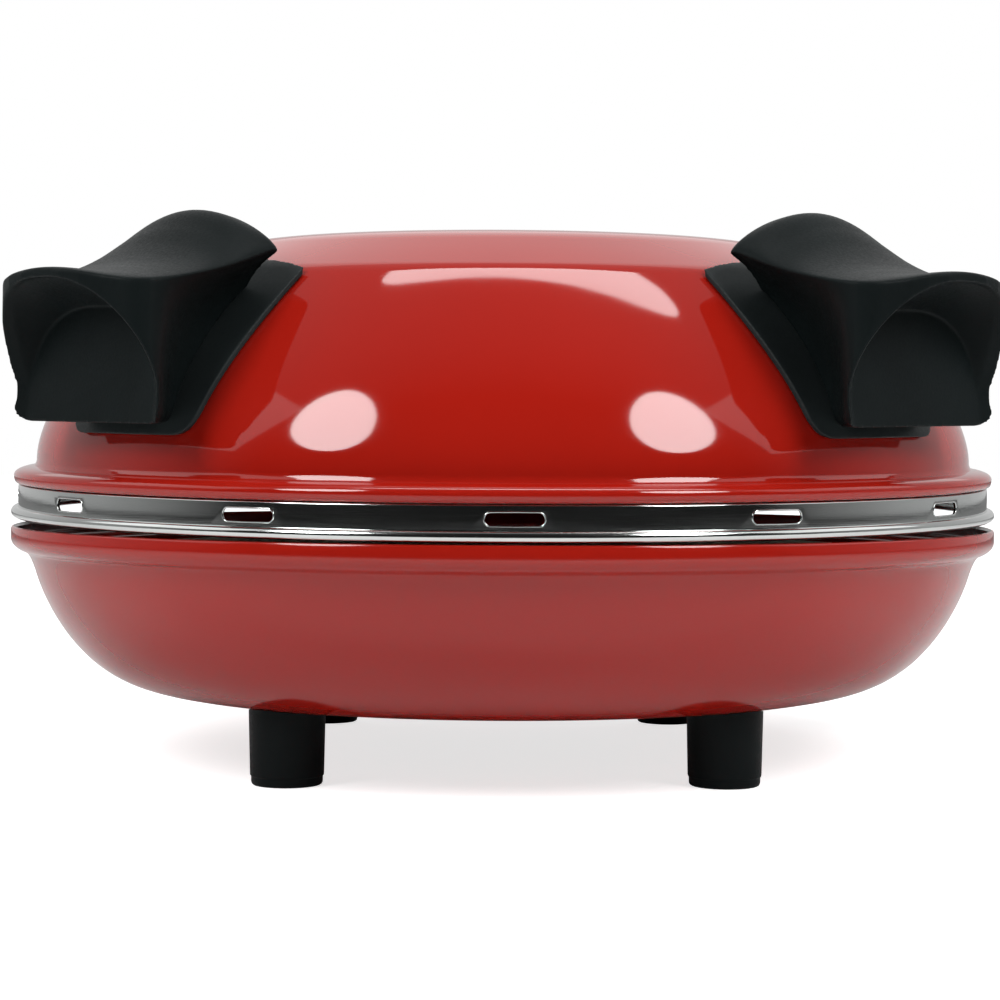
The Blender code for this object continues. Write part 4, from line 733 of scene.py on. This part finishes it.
def slot_ring(name, tube_r, reach):
    """A rim for one slot, bent to the band: a torus whose halves are drawn apart."""
    bpy.ops.object.select_all(action="DESELECT")
    bpy.ops.mesh.primitive_torus_add(
        major_segments=24, minor_segments=10, major_radius=SLOT_HIGH / 2, minor_radius=tube_r,
        rotation=(math.pi / 2, 0, 0))
    ring = bpy.context.object
    ring.name = name
    bpy.ops.object.transform_apply(rotation=True)
    drawn_apart(ring)
    for vert in ring.data.vertices:
        vert.co.y -= math.sqrt(reach**2 - vert.co.x**2)
    return ring


def slot_plug():
    """A bar with round ends that cuts one slot."""
    bpy.ops.object.select_all(action="DESELECT")
    bpy.ops.mesh.primitive_cylinder_add(
        vertices=24, radius=SLOT_HIGH / 2, depth=12 * MM, rotation=(math.pi / 2, 0, 0))
    plug = bpy.context.object
    bpy.ops.object.transform_apply(rotation=True)
    drawn_apart(plug)
    for vert in plug.data.vertices:
        vert.co.y -= BAND_R
    return plug


def ringed(first, count, start):
    """Copies a piece round the upright axis and joins the copies with it."""
    pieces = []
    for k in range(count):
        copy = first if k == count - 1 else bpy.data.objects.new(first.name, first.data.copy())
        if copy is not first:
            bpy.context.scene.collection.objects.link(copy)
        copy.data.transform(Matrix.Rotation(start + math.tau * k / count, 4, "Z"))
        pieces.append(copy)
    bpy.ops.object.select_all(action="DESELECT")
    for copy in pieces:
        copy.select_set(True)
    bpy.context.view_layer.objects.active = first
    bpy.ops.object.join()
    return first


slot_plugs = ringed(slot_plug(), SLOTS, SLOT_TURN)
carved(band, slot_plugs)
bpy.data.objects.remove(slot_plugs)


def rolled_steel(name, colour, roughness):
    """Bright rolled strip: fine streaks run round the band, under a slight smudging."""
    material, tree, shader = new_material(name)
    where = node(tree, "TexCoord").outputs["Object"]
    spot = node(tree, "Mapping", Vector=where, Location=(0, -AXIS_Y, 0))
    apart = node(tree, "SeparateXYZ", Vector=spot.outputs["Vector"])
    turn = node(tree, "Math", operation="ARCTAN2")
    tree.links.new(apart.outputs["X"], turn.inputs[0])
    tree.links.new(apart.outputs["Y"], turn.inputs[1])
    wrapped = node(tree, "CombineXYZ", X=turn.outputs[0], Y=apart.outputs["Z"])
    drawn = node(tree, "Mapping", Vector=wrapped.outputs["Vector"], Scale=(6.0, 4000.0, 1.0))
    streak = node(tree, "TexNoise", Vector=drawn.outputs["Vector"], Scale=1.0, Detail=5.0)
    smudge = node(tree, "TexNoise", Vector=spot.outputs["Vector"], Scale=26.0, Detail=4.0)
    dull = tuple(c * 0.9 for c in colour)
    coloured(tree, shader, smudge.outputs["Fac"], (0.35, dull), (0.65, colour))
    roughened(tree, shader, streak.outputs["Fac"], roughness, roughness + 0.08)
    bumped(tree, shader, streak.outputs["Fac"], 0.1, 0.03 * MM)
    shader.inputs["Metallic"].default_value = 1.0
    return material


band_steel = rolled_steel("band_steel", (0.62, 0.64, 0.63), 0.07)
fitted(smooth(band, 30), lid_place, "lid", "bright_steel", band_steel, "vent_band")
slot_rims = ringed(slot_ring("slot_rims", SLOT_RIM_R, BAND_R - 0.1 * MM), SLOTS, SLOT_TURN)
fitted(smooth(slot_rims, 60), lid_place, "lid", "bright_steel", band_steel)


# Hood: the bright pan inside the dome that throws the heat down, spun of the same sheet as the pan below. Its
# rim lies on the band's shelf under the dome, and three rivets join all three.
HOOD_RIM_R = BAND_R - 1.8 * MM
HOOD_Z = BAND_TOP + 0.3 * MM
HOOD_SHOULDER = 52 * MM
HOOD_TOP = 72 * MM
hood = spun("hood", eased([
    (0.0, HOOD_TOP, 0),
    (HOOD_RIM_R - 52 * MM, HOOD_TOP, 4 * MM),
    (HOOD_RIM_R - 37 * MM, HOOD_SHOULDER, 6 * MM),
    (HOOD_RIM_R - 18 * MM, HOOD_Z + PAN_SHEET, 2 * MM),
    (HOOD_RIM_R, HOOD_Z + PAN_SHEET, 0),
]))
shaped(hood, "SOLIDIFY", thickness=PAN_SHEET, offset=-1)
hood_metal = lathe_metal("hood_metal", (0.66, 0.66, 0.64), 0.25, base_centre)
fitted(smooth(hood), lid_place, "lid", "bright_steel", hood_metal, "lid_reflector")


# Upper heater: one rod bent into two rings, the inner one run back the other way, so that both ends leave
# the dome side by side at the back.
UPPER_R = HOOD_RIM_R - 62 * MM
INNER_R = UPPER_R - 40 * MM
UPPER_Z = 31.5 * MM
UPPER_REACH = WALL_FOOT[0] + 5.6 * MM
turn_in, bend_at = loop_in(UPPER_R)
return_bend = (UPPER_R - INNER_R) / 2
inner_end = math.asin((END_SPACING - HEATER_BEND) / (INNER_R + HEATER_BEND))
return_at = math.asin(END_SPACING / INNER_R) + 2 * HEATER_BEND / INNER_R
return_at += return_bend / (INNER_R + return_bend)
upper = bent_rod("upper_heater", (END_SPACING, -UPPER_REACH, UPPER_Z), [
    (UPPER_REACH - bend_at, 0),
    (HEATER_BEND, -turn_in),
    (UPPER_R, 1.5 * math.pi + turn_in - return_at),
    (return_bend, math.pi),
    (INNER_R, return_at - math.tau - inner_end),
    (HEATER_BEND, math.pi / 2 + inner_end),
    (UPPER_REACH - (INNER_R + HEATER_BEND) * math.cos(inner_end), 0),
])
upper_place = lid_place @ Matrix.Rotation(math.pi, 4, "Z")
fitted(upper, upper_place, "lid", "heater_sheath", sheath, "upper_element")


# Hinge and terminal cover behind the oven: a bracket with two ears screwed to the bowl, an arm riveted to the
# band and a pin through both, all zinc plated, and the black moulded cover over the upper heater's ends.
for part in ("hinge_base_bracket", "hinge_lid_arm"):
    dressed(part, 0.5 * MM, "zinc_steel", zinc, 3)
for part in parts:
    if part.startswith(("hinge_pin", "hinge_base_screw", "hinge_lid_rivet")):
        dressed(part, 0.25 * MM, "zinc_steel", zinc)
dressed("lid_terminal_cover", 0.6 * MM, "black_plastic", housing_plastic, 3)


# Grips: black mouldings, each held by two screws from inside the dome. The top is a saddle with a high
# inner crest, the sides are pinched in, and a deep scoop under the outer lip takes the fingers.
GRIP_TURN = math.radians(47)
GRIP_IN = CREASE[0] + 8.0 * MM
GRIP_LONG = 66.0 * MM
GRIP_HALF = 42.0 * MM
GRIP_LOW = 35.7 * MM
GRIP_HIGH = 108.4 * MM
# Each row: place along the grip, height of the saddle's middle and of its edge, half-width at that edge
# and at the waist, as shares of the grip's length, height and half-width, and how late the side draws in
GRIP_SHARES = [
    (0.000, 0.945, 0.772, 0.945, 0.440, 7.0),
    (0.030, 0.970, 0.776, 0.953, 0.445, 6.8),
    (0.119, 0.978, 0.750, 0.957, 0.455, 6.0),
    (0.239, 0.898, 0.717, 0.964, 0.475, 4.8),
    (0.358, 0.810, 0.689, 0.969, 0.515, 3.6),
    (0.478, 0.745, 0.667, 0.974, 0.590, 2.8),
    (0.582, 0.712, 0.651, 0.979, 0.720, 2.2),
    (0.642, 0.702, 0.642, 0.980, 0.835, 1.9),
    (0.694, 0.693, 0.636, 0.978, 0.932, 1.7),
    (0.739, 0.686, 0.632, 0.970, 0.980, 1.5),
    (0.791, 0.682, 0.628, 0.944, 0.992, 1.3),
    (0.866, 0.684, 0.626, 0.860, 0.900, 1.2),
    (0.940, 0.690, 0.641, 0.672, 0.680, 1.2),
    (0.982, 0.690, 0.660, 0.470, 0.470, 1.2),
    (1.000, 0.684, 0.666, 0.260, 0.260, 1.2),
]
SCOOP_BACK_TOP_R = WALL_FOOT[0] + 9.2 * MM
SCOOP_BACK_TOP = 74.0 * MM
SCOOP_LEAN = 0.12
SCOOP_BACK_HALF = 36.6 * MM
SCOOP_LIP_HALF = 38.0 * MM
SCOOP_SPRING = 40.0 * MM
SCOOP_LIP_TOP = 82.5 * MM
SCOOP_FOOT_R = WALL_FOOT[0] + 14.0 * MM
SCOOP_PULL = (WALL_FOOT[0] + 7.2 * MM, 50.6 * MM)
SCOOP_LIP_R = GRIP_IN + GRIP_LONG - 1.5 * MM
SCOOP_POWER = 2.55
SCOOP_UNDER = GRIP_LOW - 6 * MM
GRIP_ROUND = 5.0 * MM
GRIP_GAP = 2.6 * MM
# Shares of the way round a grip's section: first half the underside, then a side, then half the top
UNDERSIDE = 0.08
SIDE_SPAN = 0.22
SIDE_END = 0.30
TOP_SPAN = 0.20
# Shares of the way round the scoop's arch: first half the underside, then a leg, then half the arch
LEG_SPAN = 0.12
LEG_END = 0.20
ARCH_SPAN = 0.30


def grid_piece(name, across, along, place):
    """A grid whose points are put in place by a function of two shares, merged and closed."""
    bpy.ops.object.select_all(action="DESELECT")
    bpy.ops.mesh.primitive_grid_add(x_subdivisions=along, y_subdivisions=across, size=1)
    piece = bpy.context.object
    piece.name = name
    for vert in piece.data.vertices:
        vert.co = place(vert.co.x + 0.5, vert.co.y + 0.5)
    edit(piece)
    bpy.ops.mesh.remove_doubles(threshold=MM * 0.01)
    bpy.ops.mesh.select_all(action="DESELECT")
    bpy.ops.mesh.select_non_manifold(extend=False)
    bpy.ops.mesh.fill_holes(sides=0)
    bpy.ops.mesh.select_all(action="SELECT")
    bpy.ops.mesh.normals_make_consistent(inside=False)
    leave()
    return piece


def between_rows(rows, share):
    """A row of values at a share of the way, on a smooth curve through the rows."""
    k = max(i for i, row in enumerate(rows[:-1]) if row[0] <= share + 1e-9)
    before, here = rows[max(k - 1, 0)], rows[k]
    after, last = rows[k + 1], rows[min(k + 2, len(rows) - 1)]
    t = (share - here[0]) / (after[0] - here[0])
    found = []
    for a, b, c, d in zip(before[1:], here[1:], after[1:], last[1:]):
        bend = a - 2.5 * b + 2 * c - d / 2 + t * (1.5 * (b - c) + (d - a) / 2)
        found.append(b + t * ((c - a) / 2 + t * bend))
    return found


def grip_point(share, turn):
    """A point of a grip. share runs outwards, and turn round the section from its underside's middle."""
    crest, edge, cap, waist, late = between_rows(GRIP_SHARES, min(share, 1.0))
    height = GRIP_HIGH - GRIP_LOW
    y = -(GRIP_IN + GRIP_LONG * share)
    mirrored = turn > 0.5
    walk = 1 - turn if mirrored else turn
    if walk < UNDERSIDE:
        x, z = (GRIP_HALF * waist - GRIP_ROUND) * walk / UNDERSIDE, GRIP_LOW
    elif walk < SIDE_END:
        up = ((walk - UNDERSIDE) / SIDE_SPAN) ** 1.6
        z = GRIP_LOW + height * edge * up
        left = max(1 - (z - GRIP_LOW) / GRIP_ROUND, 0)
        x = GRIP_HALF * (waist + (cap - waist) * up**late) - GRIP_ROUND * (1 - math.sqrt(1 - left * left))
    else:
        bow = math.cos((walk - SIDE_END) / TOP_SPAN * math.pi / 2)
        x = GRIP_HALF * cap * bow
        rest = 1 - bow * bow
        z = GRIP_LOW + height * (edge + (crest - edge) * (rest + math.sqrt(max(rest, 0))) / 2)
    return (-x if mirrored else x, y, z)


def lip_reach(z):
    """Distance of the scoop's lip from the axis at a height."""
    a, b = GRIP_LOW - 2 * SCOOP_PULL[1] + SCOOP_LIP_TOP, SCOOP_PULL[1] - GRIP_LOW
    t = (math.sqrt(max(b * b + a * (z - GRIP_LOW), 0)) - b) / a
    reach = SCOOP_FOOT_R * (1 - t) ** 2 + 2 * SCOOP_PULL[0] * t * (1 - t) + SCOOP_LIP_R * t * t
    return max(reach, back_reach(z) + 0.3 * MM)


def back_reach(z):
    """Distance of the scoop's back panel from the axis at a height."""
    return SCOOP_BACK_TOP_R + (SCOOP_BACK_TOP - z) * SCOOP_LEAN


def arch_point(half, top, reach, turn):
    """A point of an arch on upright feet. turn runs round it from the middle of its underside."""
    walk = min(turn, 1 - turn)
    side = -1 if turn > 0.5 else 1
    if walk < UNDERSIDE:
        x, z = half * walk / UNDERSIDE, SCOOP_UNDER
    elif walk < LEG_END:
        x, z = half, SCOOP_UNDER + (SCOOP_SPRING - SCOOP_UNDER) * (walk - UNDERSIDE) / LEG_SPAN
    else:
        angle = (walk - LEG_END) / ARCH_SPAN * math.pi / 2
        x = half * max(math.cos(angle), 0) ** (2 / SCOOP_POWER)
        z = SCOOP_SPRING + (top - SCOOP_SPRING) * math.sin(angle) ** (2 / SCOOP_POWER)
    return Vector((side * x, -reach(max(z, GRIP_LOW)), z))


LIP_SHARE = 0.75
SCOOP_OVERRUN = 6 * MM
SCOOP_FLARE = 1.7


def scoop_point(share, turn):
    """A point of the scoop's cutter: from the back panel out to the lip, and wider beyond it."""
    back = arch_point(SCOOP_BACK_HALF, SCOOP_BACK_TOP, back_reach, turn)
    lip = arch_point(SCOOP_LIP_HALF, SCOOP_LIP_TOP, lip_reach, turn)
    if share <= LIP_SHARE:
        return back.lerp(lip, share / LIP_SHARE)
    moved = (GRIP_IN + GRIP_LONG + SCOOP_OVERRUN + lip.y) * (share - LIP_SHARE) / (1 - LIP_SHARE)
    return Vector((lip.x * (1 + SCOOP_FLARE * moved / SCOOP_LIP_HALF), lip.y - moved, lip.z))


def offset_line(line, distance):
    """A (radius, height) line moved outwards, square to itself."""
    moved = []
    for i, (r, z) in enumerate(line):
        before = Vector(line[max(i - 1, 0)])
        after = Vector(line[min(i + 1, len(line) - 1)])
        along = (after - before).normalized()
        moved.append((0.0 if r == 0 else r - along.y * distance, z + along.x * distance))
    return moved


grip_plastic = moulded("grip_plastic", grain_scale=1100.0, roughness=0.42, gloss=0.05,
                       colour=(0.0046, 0.0066, 0.0068))
dome_under = [(0.0, -30 * MM), (VALLEY[0] + GRIP_GAP, -30 * MM)]
dome_over = offset_line(dome_line(), GRIP_GAP)
dome_solid = spun("dome_solid", dome_under + dome_over[::-1], steps=128)
grip = grid_piece("grip", 168, 90, grip_point)
scoop = grid_piece("scoop", 128, 16, scoop_point)
carved(grip, scoop)
GRIP_VOXEL = 0.42 * MM
GRIP_FACES = 75000
for side, turn in (("left", -GRIP_TURN), ("right", GRIP_TURN)):
    hand = bpy.data.objects.new("grip_" + side, grip.data.copy())
    bpy.context.scene.collection.objects.link(hand)
    hand.data.transform(Matrix.Rotation(turn, 4, "Z"))
    carved(hand, dome_solid)
    shaped(hand, "REMESH", mode="VOXEL", voxel_size=GRIP_VOXEL)
    shaped(hand, "SMOOTH", factor=0.5, iterations=12)
    shaped(hand, "DECIMATE", ratio=GRIP_FACES / len(hand.data.polygons))
    fitted(smooth(hand, 180), lid_place, "lid", "black_plastic", grip_plastic, "handle_" + side)
for spare in (grip, scoop, dome_solid):
    bpy.data.objects.remove(spare)


# Mount plates: curved black plates between the grips and the dome, which keep the heat from the grips. Each
# is moulded to the dome's curve, wider at its top, with rounded lower corners.
SEAT = 0.3 * MM
MOUNT_SHEET = 2.0 * MM
MOUNT_HALF = 33.5 * MM
MOUNT_TOP_HALF = 42.0 * MM
MOUNT_IN = CREASE[0] - 2.5 * MM
MOUNT_LOW = 31.8 * MM
MOUNT_ROUND = 8.0 * MM
MOUNT_SWEEP = math.radians(46)
SPARE_IN = 36 * MM
SPARE_LOW = 4 * MM
MOUNT_VOXEL = 0.34 * MM
MOUNT_FACES = 40000


def prism(name, outline, near, far):
    """An (x, z) outline made solid between two places along Y."""
    bpy.ops.object.select_all(action="DESELECT")
    bpy.ops.mesh.primitive_circle_add(vertices=len(outline), radius=MM, fill_type="NGON")
    piece = bpy.context.object
    piece.name = name
    for vert, (x, z) in zip(piece.data.vertices, outline):
        vert.co = (x, near, z)
    edit(piece)
    bpy.ops.mesh.extrude_region_move(TRANSFORM_OT_translate={"value": (0, far - near, 0)})
    bpy.ops.mesh.select_all(action="SELECT")
    bpy.ops.mesh.normals_make_consistent(inside=False)
    leave()
    return piece


mount_outline = eased([
    (0.0, MOUNT_LOW, 0),
    (MOUNT_HALF, MOUNT_LOW, MOUNT_ROUND),
    (MOUNT_TOP_HALF, GRIP_HIGH, 0),
    (-MOUNT_TOP_HALF, GRIP_HIGH, 0),
    (-MOUNT_HALF, MOUNT_LOW, MOUNT_ROUND),
    (0.0, MOUNT_LOW, 0),
], 6)
mount_wall = [(r, z) for r, z in dome_line() if r > MOUNT_IN - SPARE_IN and z > MOUNT_LOW - SPARE_LOW]
mount_ring = offset_line(mount_wall, SEAT + MOUNT_SHEET) + offset_line(mount_wall, SEAT)[::-1]
# The plates' plastic is given a much lighter colour than the grips' as painted sheen: the raised colour
# stands in for the glossy reflection that lightens the plates, which their gloss alone does not give.
mount_plastic = moulded("mount_plastic", grain_scale=800.0, roughness=0.42, gloss=0.16, depth=0.03,
                        colour=(0.0150, 0.0190, 0.0195))
for side, turn in (("left", -GRIP_TURN), ("right", GRIP_TURN)):
    plate = spun("mount_plate_" + side, mount_ring + mount_ring[:1], 48, MOUNT_SWEEP, -MOUNT_SWEEP / 2)
    edit(plate)
    bpy.ops.mesh.select_all(action="DESELECT")
    bpy.ops.mesh.select_non_manifold(extend=False)
    bpy.ops.mesh.fill_holes(sides=0)
    bpy.ops.mesh.select_all(action="SELECT")
    bpy.ops.mesh.normals_make_consistent(inside=False)
    leave()
    block = prism("mount_block", mount_outline[:-1], -MOUNT_IN, -RIM_R)
    carved(plate, block, "INTERSECT")
    bpy.data.objects.remove(block)
    plate.data.transform(Matrix.Rotation(turn, 4, "Z"))
    shaped(plate, "REMESH", mode="VOXEL", voxel_size=MOUNT_VOXEL)
    shaped(plate, "SMOOTH", factor=0.5, iterations=10)
    shaped(plate, "DECIMATE", ratio=MOUNT_FACES / len(plate.data.polygons))
    fitted(smooth(plate, 180), lid_place, "lid", "black_plastic", mount_plastic, "handle_" + side + "_mount")

bpy.data.objects.remove(bowl_solid)
